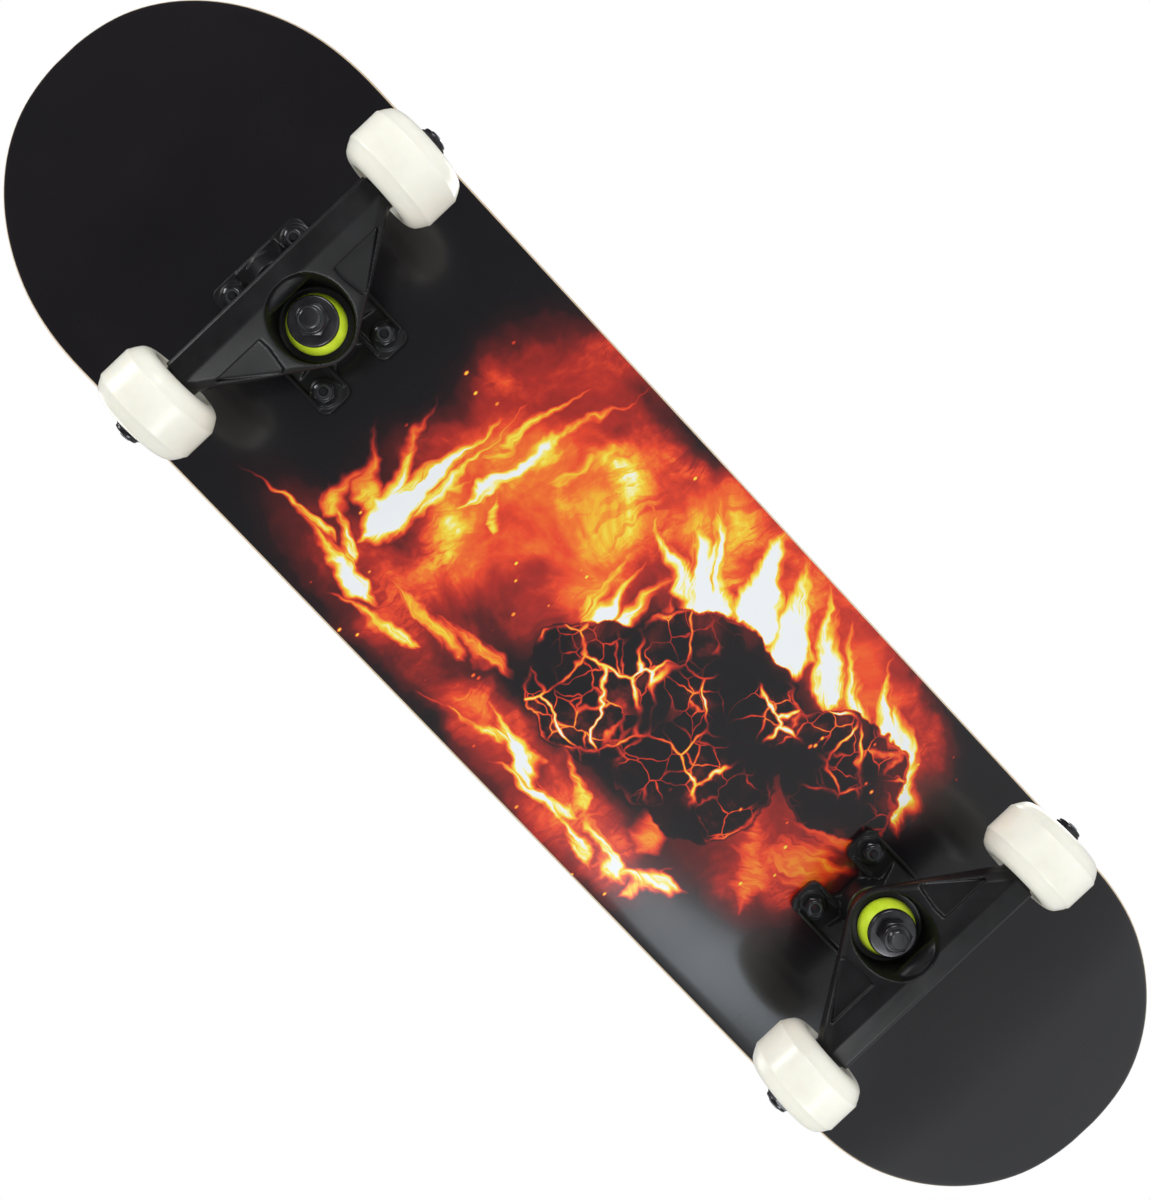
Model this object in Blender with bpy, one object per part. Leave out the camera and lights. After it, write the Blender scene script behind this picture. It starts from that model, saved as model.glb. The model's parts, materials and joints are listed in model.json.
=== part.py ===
"""Street skateboard: kicked plywood deck, grip tape, two kingpin trucks, four wheels on ball bearings.

Frame: metres, +Z up, +X towards the nose, +Y to the left. The origin lies on the ground under the
middle of the board, and the wheels touch z = 0. Both trucks are one design: the rear one is the front
one turned half a turn about Z.
"""

from math import atan2, cos, pi, radians, sin, sqrt, tan

import bmesh
import bpy
from mathutils import Matrix, Vector

MM = 0.001
GAP = 0.3                     # clearance that touching pieces keep, like all lengths below in mm
SLIVER = 0.02                 # faces thinner than this are closed up

# Deck: a 32 x 8.125 inch board
DECK_LENGTH = 812.8
DECK_WIDTH = 206.4
DECK_THICKNESS = 10.5
DECK_UNDERSIDE = 79.0         # height of the flat middle's lower face above the ground
DECK_EDGE_ROUND = 2.6
NOSE_LENGTH = 132.0           # plan length of the rounded end, from where the sides stop being straight
NOSE_POWER = 2.15             # exponent of the end's superellipse
TIP_HALF_WIDTH = 13.0         # where the last cross-section closes the tip
KICK_START = 268.0            # plan distance from the middle to where the kick begins to bend
KICK_RADIUS = 160.0
KICK_ANGLE = radians(22.0)
CONCAVE_FLAT = 33.0           # half-width of the flat strip along the middle
CONCAVE_RISE = 9.0            # height of the rails over the middle
CONCAVE_POWER = 1.6
GRIP_THICKNESS = 0.8
GRIP_INSET = 0.6
END_SECTIONS = 10             # facets of the deck: along each kicked end,
MIDDLE_SECTIONS = 4           # along the straight middle,
ACROSS_SECTIONS = 10          # and across

# Wheelbase and mounting pattern (1.625 x 2.5 inch)
WHEELBASE_INNER = 361.0       # between the trucks' inner bolts
BOLT_SPACING_LONG = 63.5
BOLT_SPACING_WIDE = 41.3
BOLT_RADIUS = 2.4
BOLT_HEAD_RADIUS = 4.7
BOLT_HEAD_HEIGHT = 2.9
LOCKNUT_ACROSS_FLATS = 9.5
LOCKNUT_HEIGHT = 5.5
BOLT_PROUD = 1.6              # thread that shows past the nut
HEX_KEY_ACROSS_FLATS = 3.2

# Truck: u points outwards along the board, w up, both from the middle of the axle
AXLE_U = 221.5                # from the middle of the board
KINGPIN_U = -21.0
KINGPIN_RADIUS = 4.75
RING_MID_W = 16.85            # middle of the hanger's ring, on the steering axis
STEER_TILT = radians(30.0)    # steering axis rises outwards, from the ring to the pivot
AXLE_RADIUS = 4.0
AXLE_HALF_LENGTH = 99.2
HANGER_HALF_WIDTH = 64.0
BASE_THICKNESS = 6.0

# Wheel and bearings
WHEEL_RADIUS = 26.0
WHEEL_HALF_WIDTH = 16.0
BEARING_RADIUS = 11.0
BEARING_WIDTH = 7.0
BEARING_SEAT = 5.0            # from the wheel's middle to a bearing's inner face
WASHER_THICKNESS = 1.0
AXLE_NUT_ACROSS_FLATS = 12.7
AXLE_NUT_HEIGHT = 7.4
AXLE_NUT_GAP = 1.3            # room for an outer speed washer between bearing and nut

BASE_TOP_W = DECK_UNDERSIDE - GAP - WHEEL_RADIUS
BASE_LOW_W = BASE_TOP_W - BASE_THICKNESS
INNER_BOLT_U = WHEELBASE_INNER / 2 - AXLE_U
OUTER_BOLT_U = INNER_BOLT_U + BOLT_SPACING_LONG
GRIP_TOP = DECK_UNDERSIDE + DECK_THICKNESS + GAP + GRIP_THICKNESS
WHEEL_MID_V = HANGER_HALF_WIDTH + GAP + WASHER_THICKNESS + GAP + BEARING_SEAT + BEARING_WIDTH


# ------------------------------------------------------------------ materials

def material(name, colour, roughness, metallic=0.0):
    """A Principled material; the slots share one when they share a name."""
    if name in bpy.data.materials:
        return bpy.data.materials[name]
    slot = bpy.data.materials.new(name)
    slot.use_nodes = True
    shader = slot.node_tree.nodes["Principled BSDF"]
    shader.inputs["Base Color"].default_value = (*colour, 1.0)
    shader.inputs["Roughness"].default_value = roughness
    shader.inputs["Metallic"].default_value = metallic
    return slot


def printed_maple():
    return material("printed_maple", (0.05, 0.035, 0.035), 0.25)


def grit():
    return material("grip_grit", (0.02, 0.02, 0.022), 0.95)


def black_casting():
    return material("black_casting", (0.03, 0.03, 0.032), 0.45, 0.4)


def black_steel():
    return material("black_steel", (0.05, 0.05, 0.055), 0.35, 0.8)


def bright_steel():
    return material("bright_steel", (0.6, 0.6, 0.62), 0.25, 1.0)


def lime_urethane():
    return material("lime_urethane", (0.55, 0.72, 0.05), 0.4)


def white_urethane():
    return material("white_urethane", (0.87, 0.87, 0.8), 0.3)


def black_urethane():
    return material("black_urethane", (0.03, 0.03, 0.03), 0.6)


# ------------------------------------------------------------------ solids

def place(name, mesh, slot, parent=None, location=(0.0, 0.0, 0.0)):
    """A named object for a mesh in millimetres that has been scaled to metres."""
    piece = bpy.data.objects.new(name, mesh)
    bpy.context.scene.collection.objects.link(piece)
    if not mesh.materials:
        mesh.materials.append(slot)
    piece.parent = parent
    piece.location = Vector(location) * MM
    return piece


def finish_mesh(bm, name, smooth_angle=35.0):
    """Closes off a bmesh drawn in millimetres: outward faces, metres, smooth round sides."""
    bmesh.ops.recalc_face_normals(bm, faces=bm.faces)
    bmesh.ops.scale(bm, vec=(MM, MM, MM), verts=bm.verts)
    mesh = bpy.data.meshes.new(name)
    bm.to_mesh(mesh)
    bm.free()
    mesh.shade_smooth()
    mesh.set_sharp_from_angle(angle=radians(smooth_angle))
    return mesh


def loft(bm, rings, closed_ends=True):
    """Joins rings of equal length, each a list of points, into a tube with capped ends."""
    rows = [[bm.verts.new(point) for point in ring] for ring in rings]
    for low, high in zip(rows, rows[1:]):
        for i in range(len(low)):
            j = (i + 1) % len(low)
            bm.faces.new((low[i], low[j], high[j], high[i]))
    if closed_ends:
        bm.faces.new(rows[0])
        bm.faces.new(rows[-1])
    return rows


def turned(profile, segments, axis="Z"):
    """A turned solid from (radius, height) points: a closed profile, or an open one with flat ends."""
    bm = bmesh.new()
    turn = [2 * pi * i / segments for i in range(segments)]
    solid = profile[0][0] == 0.0
    rows = []
    for radius, height in profile[1:-1] if solid else profile:
        rows.append([bm.verts.new((radius * cos(a), radius * sin(a), height)) for a in turn])
    pairs = list(zip(rows, rows[1:]))
    if solid:
        bm.faces.new(rows[0])
        bm.faces.new(rows[-1])
    else:
        pairs.append((rows[-1], rows[0]))
    for low, high in pairs:
        for i in range(segments):
            j = (i + 1) % segments
            bm.faces.new((low[i], low[j], high[j], high[i]))
    if axis == "Y":
        bmesh.ops.rotate(bm, matrix=Matrix.Rotation(-pi / 2, 3, "X"), verts=bm.verts)
    return bm


def prism(outline, low, high):
    bm = bmesh.new()
    loft(bm, [[(x, y, z) for x, y in outline] for z in (low, high)])
    return bm


def hexagon(across_flats):
    corner = across_flats / sqrt(3.0)
    return [(corner * cos(pi / 3 * i), corner * sin(pi / 3 * i)) for i in range(6)]


def circle(radius, segments, centre=(0.0, 0.0)):
    turn = [2 * pi * i / segments for i in range(segments)]
    return [(centre[0] + radius * cos(a), centre[1] + radius * sin(a)) for a in turn]


def rounded_outline(corners, radius, steps=4):
    """A polygon whose corners, convex or not, are rounded with arcs."""
    points = []
    count = len(corners)
    for i, corner in enumerate(corners):
        here = Vector(corner)
        back = (Vector(corners[i - 1]) - here).normalized()
        ahead = (Vector(corners[(i + 1) % count]) - here).normalized()
        half = back.angle(ahead) / 2
        centre = here + (back + ahead).normalized() * (radius / sin(half))
        start = here + back * (radius / tan(half)) - centre
        end = here + ahead * (radius / tan(half)) - centre
        sweep = atan2(start.x * end.y - start.y * end.x, start.dot(end))
        first = atan2(start.y, start.x)
        for step in range(steps + 1):
            angle = first + sweep * step / steps
            points.append((centre.x + radius * cos(angle), centre.y + radius * sin(angle)))
    return points


def hull(points):
    bm = bmesh.new()
    verts = [bm.verts.new(point) for point in points]
    result = bmesh.ops.convex_hull(bm, input=verts)
    inside = dict.fromkeys(result["geom_interior"] + result["geom_unused"])
    loose = [element for element in inside if isinstance(element, bmesh.types.BMVert)]
    bmesh.ops.delete(bm, geom=loose, context="VERTS")
    bmesh.ops.dissolve_limit(bm, angle_limit=radians(0.5), verts=bm.verts, edges=bm.edges)
    return bm


def along_steering_axis(bm):
    """Moves a solid turned about Z onto the steering axis, with height 0 at the ring's middle."""
    tilt = Matrix.Rotation(pi / 2 - STEER_TILT, 4, "Y")
    shift = Matrix.Translation((KINGPIN_U, 0.0, RING_MID_W))
    bmesh.ops.transform(bm, matrix=shift @ tilt, verts=bm.verts)
    return bm


def steering_ring(radius, distance, segments):
    """Points of a circle round the steering axis, at a distance from the ring's middle."""
    along = Vector((cos(STEER_TILT), 0.0, sin(STEER_TILT)))
    up = Vector((-sin(STEER_TILT), 0.0, cos(STEER_TILT)))
    centre = Vector((KINGPIN_U, 0.0, RING_MID_W)) + along * distance
    side = Vector((0.0, 1.0, 0.0))
    turn = [2 * pi * i / segments for i in range(segments)]
    return [tuple(centre + up * radius * cos(a) + side * radius * sin(a)) for a in turn]


def combined(name, base, steps):
    """Unions and cuts bmesh tools with a base, in order, and returns the resulting mesh."""
    body = place(name + "_blank", finish_mesh(base, name), None)
    tools = []
    for operation, tool_bm in steps:
        tool = place(name + "_tool", finish_mesh(tool_bm, name + "_tool"), None)
        modifier = body.modifiers.new(operation.lower(), "BOOLEAN")
        modifier.operation = operation
        modifier.object = tool
        tools.append(tool)
    bpy.context.view_layer.update()
    graph = bpy.context.evaluated_depsgraph_get()
    mesh = bpy.data.meshes.new_from_object(body.evaluated_get(graph), depsgraph=graph)
    for used in (body, *tools):
        bpy.data.objects.remove(used, do_unlink=True)
    mesh.materials.clear()
    tidy_slivers(mesh)
    mesh.shade_smooth()
    mesh.set_sharp_from_angle(angle=radians(35.0))
    return mesh


def tidy_slivers(mesh):
    """Closes up the needle-thin faces that cuts leave, and keeps every other face."""
    bm = bmesh.new()
    bm.from_mesh(mesh)
    bmesh.ops.remove_doubles(bm, verts=bm.verts, dist=SLIVER * MM)
    bmesh.ops.dissolve_degenerate(bm, edges=bm.edges, dist=SLIVER * MM)
    bmesh.ops.triangulate(bm, faces=bm.faces)
    bmesh.ops.dissolve_degenerate(bm, edges=bm.edges, dist=SLIVER * MM)
    bmesh.ops.recalc_face_normals(bm, faces=bm.faces)
    bm.to_mesh(mesh)
    bm.free()


# ------------------------------------------------------------------ deck

def half_width(x):
    """The deck's half-width at a distance x along the board."""
    into_end = abs(x) - (DECK_LENGTH / 2 - NOSE_LENGTH)
    if into_end <= 0.0:
        return DECK_WIDTH / 2
    tip_share = TIP_HALF_WIDTH / (DECK_WIDTH / 2)
    reach = NOSE_LENGTH / (1.0 - tip_share ** NOSE_POWER) ** (1.0 / NOSE_POWER)
    return DECK_WIDTH / 2 * (1.0 - (into_end / reach) ** NOSE_POWER) ** (1.0 / NOSE_POWER)


def kick(x):
    """Height and slope of the deck's middle line at a distance x along the board."""
    run = abs(x) - KICK_START
    side = 1.0 if x >= 0.0 else -1.0
    if run <= 0.0:
        return 0.0, 0.0
    bend = KICK_RADIUS * sin(KICK_ANGLE)
    if run < bend:
        angle = atan2(run, sqrt(KICK_RADIUS ** 2 - run ** 2))
        return KICK_RADIUS * (1.0 - cos(angle)), side * angle
    rise = KICK_RADIUS * (1.0 - cos(KICK_ANGLE)) + (run - bend) * tan(KICK_ANGLE)
    return rise, side * KICK_ANGLE


def concave(y):
    over = max(abs(y) - CONCAVE_FLAT, 0.0) / (DECK_WIDTH / 2 - CONCAVE_FLAT)
    return CONCAVE_RISE * over ** CONCAVE_POWER


def stations():
    """Places along the board, closer together where the outline and the kick curve."""
    span = DECK_LENGTH / 2 - KICK_START
    ends = [KICK_START + span * sin(pi / 2 * i / END_SECTIONS) for i in range(END_SECTIONS + 1)]
    middle = [KICK_START * (2 * i / MIDDLE_SECTIONS - 1) for i in range(1, MIDDLE_SECTIONS)]
    return [-x for x in reversed(ends)] + middle + ends


def sheet_ring(x, low, high, inset, edge_round):
    """One closed cross-section of a sheet between two heights over the deck's lower face."""
    rise, slope = kick(x)
    half = max(half_width(x) - inset, 1.0)
    stretch = 1.0 / cos(slope)
    inner = half - edge_round

    def point(y, height):
        return (x, y, DECK_UNDERSIDE + rise + concave(y) + height * stretch)

    across_points = [inner * (2 * i / ACROSS_SECTIONS - 1) for i in range(ACROSS_SECTIONS + 1)]
    ring = [point(y, low) for y in across_points]
    if edge_round:
        ring += [point(half, low + edge_round), point(half, high - edge_round)]
    ring += [point(y, high) for y in reversed(across_points)]
    if edge_round:
        ring += [point(-half, high - edge_round), point(-half, low + edge_round)]
    return ring


def bolt_places():
    """Middle of every mounting bolt: (truck, label, x, y)."""
    for truck, side in (("front", 1.0), ("rear", -1.0)):
        for row, u in (("inner", INNER_BOLT_U), ("outer", OUTER_BOLT_U)):
            for hand, v in (("left", 1.0), ("right", -1.0)):
                yield truck, row + "_" + hand, side * (AXLE_U + u), v * BOLT_SPACING_WIDE / 2


def drills(radius, low, high, segments=10):
    """A cutter for each mounting bolt."""
    for _, _, x, y in bolt_places():
        drill = prism(circle(radius, segments), low, high)
        bmesh.ops.translate(drill, vec=(x, y, 0.0), verts=drill.verts)
        yield "DIFFERENCE", drill


def countersinks(low, high):
    """A conical cutter for each mounting bolt's head, from its narrow end up."""
    narrow, wide = BOLT_RADIUS + GAP, BOLT_HEAD_RADIUS + GAP
    profile = [(0.0, low), (narrow, low), (wide, low + BOLT_HEAD_HEIGHT), (wide, high), (0.0, high)]
    for _, _, x, y in bolt_places():
        cone = turned(profile, 10)
        bmesh.ops.translate(cone, vec=(x, y, 0.0), verts=cone.verts)
        yield "DIFFERENCE", cone


def build_deck():
    """Seven-ply maple deck with kicks, concave, rounded rails and eight countersunk holes."""
    blank = bmesh.new()
    loft(blank, [sheet_ring(x, 0.0, DECK_THICKNESS, 0.0, DECK_EDGE_ROUND) for x in stations()])
    top = DECK_UNDERSIDE + DECK_THICKNESS
    cuts = list(drills(BOLT_RADIUS + GAP, DECK_UNDERSIDE - 5.0, top + 5.0))
    cuts += list(countersinks(GRIP_TOP - BOLT_HEAD_HEIGHT - GAP, top + 5.0))
    place("deck", combined("deck", blank, cuts), printed_maple())


def build_grip():
    """Grit sheet that covers the top, with a hole over each bolt head."""
    blank = bmesh.new()
    low = DECK_THICKNESS + GAP
    loft(blank, [sheet_ring(x, low, low + GRIP_THICKNESS, GRIP_INSET, 0.0) for x in stations()])
    cuts = drills(BOLT_HEAD_RADIUS + GAP, GRIP_TOP - 4.0, GRIP_TOP + 4.0)
    place("grip_tape", combined("grip_tape", blank, cuts), grit())


# ------------------------------------------------------------------ mounting hardware

def bolt_mesh():
    """Countersunk machine screw, its head at height 0, with a hexagonal key socket."""
    length = GRIP_TOP - (BASE_LOW_W + WHEEL_RADIUS - GAP - LOCKNUT_HEIGHT - BOLT_PROUD)
    tip = 0.6
    profile = [(0.0, 0.0), (BOLT_HEAD_RADIUS, 0.0), (BOLT_RADIUS, -BOLT_HEAD_HEIGHT)]
    profile += [(BOLT_RADIUS, tip - length), (BOLT_RADIUS - tip, -length), (0.0, -length)]
    socket = prism(hexagon(HEX_KEY_ACROSS_FLATS), -1.8, 1.0)
    return combined("mounting_bolt", turned(profile, 10), [("DIFFERENCE", socket)])


def nut_mesh(name, across_flats, height, bore, collar=0.0, segments=12):
    """Hexagon nut with its bore along Z from height 0 up, and a round nylon collar."""
    body = prism(hexagon(across_flats), 0.0, height - collar)
    steps = []
    if collar:
        radius = across_flats / 2 - 0.5
        steps.append(("UNION", turned([(0.0, 1.0), (radius, 1.0), (radius, height), (0.0, height)], 14)))
    steps.append(("DIFFERENCE", prism(circle(bore, segments), -1.0, height + 1.0)))
    return combined(name, body, steps)


def build_mounting_hardware():
    bolt = bolt_mesh()
    locknut = nut_mesh("mounting_nut", LOCKNUT_ACROSS_FLATS, LOCKNUT_HEIGHT, BOLT_RADIUS + GAP, segments=8)
    nut_low = BASE_LOW_W + WHEEL_RADIUS - GAP - LOCKNUT_HEIGHT
    for truck, label, x, y in bolt_places():
        place(f"{truck}_bolt_{label}", bolt, black_steel(), location=(x, y, GRIP_TOP))
        place(f"{truck}_nut_{label}", locknut, black_steel(), location=(x, y, nut_low))


# ------------------------------------------------------------------ truck castings

SEAT_HIGH_W = RING_MID_W + 3.15               # the ring's two seats, which carry the bushings
SEAT_LOW_W = RING_MID_W - 3.15
BUSHING_TOP_LOW = SEAT_HIGH_W + GAP
BUSHING_TOP_HIGH = BUSHING_TOP_LOW + 15.0
WASHER_TOP_HIGH = BUSHING_TOP_HIGH + GAP + 1.7
BOSS_LOW = WASHER_TOP_HIGH + GAP
BUSHING_ROAD_HIGH = SEAT_LOW_W - GAP
BUSHING_ROAD_LOW = BUSHING_ROAD_HIGH - 10.6
WASHER_ROAD_LOW = BUSHING_ROAD_LOW - GAP - 1.8
NUT_HIGH = WASHER_ROAD_LOW - GAP
KINGPIN_NUT_HEIGHT = 6.9
NUT_LOW = NUT_HIGH - KINGPIN_NUT_HEIGHT
KINGPIN_LOW = NUT_LOW - 3.6                   # end of the thread, which shows past the nut
KINGPIN_HEAD_ACROSS_FLATS = 14.0
KINGPIN_HEAD_RADIUS = 8.2
KINGPIN_NUT_ACROSS_FLATS = 14.3
PIN_BORE = KINGPIN_RADIUS + GAP
PIVOT_CUP_RADIUS = 8.5
PIVOT_CUP_START = 37.5        # distances along the steering axis from the ring's middle
PIVOT_CUP_END = 51.0
NECK_RADIUS = 12.5            # room round the hanger's pivot neck, under the housing
NECK_START = 26.0
NECK_END = 37.0
PIVOT_NOSE = [(9.2, 24.5), (8.6, 32.0), (6.9, 36.5), (6.7, 43.5), (5.4, 46.8), (2.6, 48.4)]


def turned_on_kingpin(profile, segments):
    """A solid turned round the kingpin."""
    solid = turned(profile, segments)
    bmesh.ops.translate(solid, vec=(KINGPIN_U, 0.0, 0.0), verts=solid.verts)
    return solid


def turned_on_steering_axis(radius, start, end, segments):
    """A cylinder along the steering axis, between two distances from the ring's middle."""
    return along_steering_axis(turned([(0.0, start), (radius, start), (radius, end), (0.0, end)], segments))


def baseplate_mesh():
    """Cast baseplate: slab with two arms at the inner end, kingpin boss and pivot housing."""
    arm, outer, side, notch_half, notch_end = -50.0, 32.0, 29.5, 10.0, -34.5
    boss_radius, boss_root, foot_half = 12.6, 14.0, 12.8
    sunk = BASE_LOW_W + 1.0
    beyond = BASE_TOP_W + 5.0
    outline = [(outer, -side), (outer, side), (arm, side), (arm, notch_half)]
    outline += [(notch_end, notch_half), (notch_end, -notch_half), (arm, -notch_half), (arm, -side)]
    slab = prism(rounded_outline(outline, 4.5, 3), BASE_LOW_W, BASE_TOP_W + 3.0)

    boss = turned_on_kingpin([(0.0, BOSS_LOW), (boss_radius, BOSS_LOW), (boss_root, sunk), (0.0, sunk)], 20)
    foot = [(u, v, sunk) for u in (-2.0, 30.5) for v in (-foot_half, foot_half)]
    housing = hull(steering_ring(11.6, 38.5, 20) + steering_ring(9.0, 49.0, 12) + foot)
    square = [(-60.0, -40.0), (60.0, -40.0), (60.0, 40.0), (-60.0, 40.0)]
    above = prism(square, BASE_TOP_W, BASE_TOP_W + 20.0)
    neck = turned_on_steering_axis(NECK_RADIUS, NECK_START, NECK_END, 20)
    bore = turned_on_steering_axis(PIVOT_CUP_RADIUS + GAP, 30.0, PIVOT_CUP_END + GAP, 20)
    pin = prism(circle(PIN_BORE, 20, (KINGPIN_U, 0.0)), BOSS_LOW - 5.0, beyond)
    head = prism(circle(KINGPIN_HEAD_RADIUS + GAP, 20, (KINGPIN_U, 0.0)), BASE_LOW_W - GAP, beyond)
    steps = [("UNION", boss), ("UNION", housing), ("DIFFERENCE", above)]
    steps += [("DIFFERENCE", cutter) for cutter in (neck, bore, pin, head)]
    for u in (INNER_BOLT_U, OUTER_BOLT_U):
        for v in (-BOLT_SPACING_WIDE / 2, BOLT_SPACING_WIDE / 2):
            drill = prism(circle(BOLT_RADIUS + GAP, 12, (u, v)), BASE_LOW_W - 3.0, beyond)
            steps.append(("DIFFERENCE", drill))
    return combined("baseplate", slab, steps)


def hanger_mesh():
    """Cast hanger: axle bar, triangular web, deep bushing recess, axle tunnel and pivot nose."""
    bar_tip = 61.5
    bar_low = [(8.6, -7.2), (6.4, -9.0), (-3.4, -9.0), (-7.4, -5.0)]
    bar_high = [(-7.4, 5.0), (-4.0, 8.4), (4.0, 8.4), (8.6, 4.0)]
    bar = [(u, v, w) for v in (-bar_tip, bar_tip) for u, w in bar_low + bar_high]
    wall_low, wall_high = RING_MID_W - 6.0, RING_MID_W + 5.6
    wall = [(KINGPIN_U + u, v, wall_low) for u, v in circle(20.4, 24)]
    wall += [(KINGPIN_U + u, v, wall_high) for u, v in circle(17.6, 24)]

    end_half = [(0.0, HANGER_HALF_WIDTH), (8.0, HANGER_HALF_WIDTH), (8.6, bar_tip + 1.5)]
    ends = turned([(r, -v) for r, v in end_half] + end_half[::-1], 24, "Y")
    bridge = [(u, v, 7.0) for u in (-5.0, 6.0) for v in (-23.0, 23.0)]
    neck = hull(steering_ring(PIVOT_NOSE[0][0] + 0.5, PIVOT_NOSE[0][1] + 1.0, 18) + bridge)
    nose = turned([(0.0, 22.0), (8.0, 22.0), *PIVOT_NOSE, (0.0, PIVOT_NOSE[-1][1])], 16)
    recess = [(0.0, -20.0), (20.5, -20.0), (18.6, wall_low), (17.6, SEAT_LOW_W), (0.0, SEAT_LOW_W)]
    seat = [(0.0, SEAT_HIGH_W), (13.6, SEAT_HIGH_W), (14.2, 60.0), (0.0, 60.0)]
    pin = [(0.0, -30.0), (7.6, -30.0), (7.6, 60.0), (0.0, 60.0)]
    tunnel = turned([(0.0, -24.0), (6.2, -24.0), (6.2, 24.0), (0.0, 24.0)], 20, "Y")
    hole = AXLE_RADIUS + GAP
    axle_hole = turned([(0.0, -90.0), (hole, -90.0), (hole, 90.0), (0.0, 90.0)], 16, "Y")
    steps = [("UNION", ends), ("UNION", neck), ("UNION", along_steering_axis(nose))]
    steps += [("DIFFERENCE", turned_on_kingpin(profile, 24)) for profile in (recess, seat, pin)]
    steps += [("UNION", tunnel), ("DIFFERENCE", axle_hole)]
    return combined("hanger", hull(bar + wall), steps)


# ------------------------------------------------------------------ kingpin stack

def kingpin_mesh():
    """Kingpin with its hexagonal head at the top and its thread's end at the bottom."""
    tip = 0.9
    inside_head = BASE_TOP_W - 2.0
    head = prism(hexagon(KINGPIN_HEAD_ACROSS_FLATS), BASE_LOW_W, BASE_TOP_W - GAP)
    profile = [(0.0, inside_head), (KINGPIN_RADIUS, inside_head), (KINGPIN_RADIUS, KINGPIN_LOW + tip)]
    profile += [(KINGPIN_RADIUS - tip, KINGPIN_LOW), (0.0, KINGPIN_LOW)]
    return combined("kingpin", head, [("UNION", turned(profile, 20))])


def cup_washer_mesh(low, high, radius, lip):
    """Dished washer whose lip turns towards the bushing, up for lip > 0 and down for lip < 0."""
    hug = radius - 1.3
    dish = 0.4
    if lip > 0.0:
        profile = [(PIN_BORE, low), (radius, low + dish), (radius, high + lip)]
        profile += [(hug, high + lip), (hug, high), (PIN_BORE, high)]
    else:
        profile = [(PIN_BORE, low), (hug, low), (hug, low + lip)]
        profile += [(radius, low + lip), (radius, high - dish), (PIN_BORE, high)]
    return finish_mesh(turned(profile, 20), "cup_washer")


def bushing_mesh(low, high, low_radius, middle_radius, high_radius):
    waist = (low + high) / 2
    profile = [(PIN_BORE, low), (low_radius - 0.8, low), (low_radius, low + 1.0), (middle_radius, waist)]
    profile += [(high_radius, high - 1.0), (high_radius - 0.8, high), (PIN_BORE, high)]
    return finish_mesh(turned(profile, 20), "bushing")


def pivot_cup_mesh():
    inner, floor = 7.3, PIVOT_CUP_END - 1.8
    profile = [(0.0, PIVOT_CUP_END), (PIVOT_CUP_RADIUS, PIVOT_CUP_END), (PIVOT_CUP_RADIUS, PIVOT_CUP_START)]
    profile += [(inner, PIVOT_CUP_START), (inner, floor), (0.0, floor)]
    return finish_mesh(along_steering_axis(turned(profile, 16)), "pivot_cup")


# ------------------------------------------------------------------ axle, wheels and bearings

def axle_mesh():
    tip = 0.8
    end = AXLE_HALF_LENGTH
    profile = [(0.0, -end), (AXLE_RADIUS - tip, -end), (AXLE_RADIUS, tip - end), (AXLE_RADIUS, end - tip)]
    profile += [(AXLE_RADIUS - tip, end), (0.0, end)]
    return finish_mesh(turned(profile, 16, "Y"), "axle")


def wheel_mesh():
    """Urethane wheel: flat tread, bevelled shoulders, dished sides and two bearing pockets."""
    pocket, floor = BEARING_RADIUS + GAP, BEARING_SEAT - GAP
    core = BEARING_SEAT + BEARING_WIDTH
    side = [(9.2, floor), (pocket, floor), (pocket, core), (14.4, core + 0.6), (16.2, WHEEL_HALF_WIDTH)]
    side += [(WHEEL_RADIUS - 7.2, WHEEL_HALF_WIDTH), (WHEEL_RADIUS - 2.4, WHEEL_HALF_WIDTH - 4.8)]
    side += [(WHEEL_RADIUS, WHEEL_HALF_WIDTH - 9.8)]
    profile = side + [(radius, -y) for radius, y in reversed(side)]
    return finish_mesh(turned(profile, 28, "Y"), "wheel", 50.0)


def bearing_mesh():
    """Ball bearing closed by its shields, as one ring."""
    half, bore = BEARING_WIDTH / 2, AXLE_RADIUS + GAP
    profile = [(bore, -half), (BEARING_RADIUS, -half), (BEARING_RADIUS, half), (bore, half)]
    return finish_mesh(turned(profile, 16, "Y"), "bearing")


def washer_mesh():
    half = WASHER_THICKNESS / 2
    profile = [(AXLE_RADIUS + GAP, -half), (6.0, -half), (6.0, half), (AXLE_RADIUS + GAP, half)]
    return finish_mesh(turned(profile, 12, "Y"), "speed_washer")


def axle_nut_mesh():
    """Lock nut with its flat side at height 0, drawn along Z and turned to point along +Y."""
    return nut_mesh("axle_nut", AXLE_NUT_ACROSS_FLATS, AXLE_NUT_HEIGHT, AXLE_RADIUS + GAP, collar=1.6)


def empty(name, parent=None, location=(0.0, 0.0, 0.0), turn=0.0):
    frame = bpy.data.objects.new(name, None)
    bpy.context.scene.collection.objects.link(frame)
    frame.parent = parent
    frame.location = Vector(location) * MM
    frame.rotation_euler.z = turn
    return frame


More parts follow.
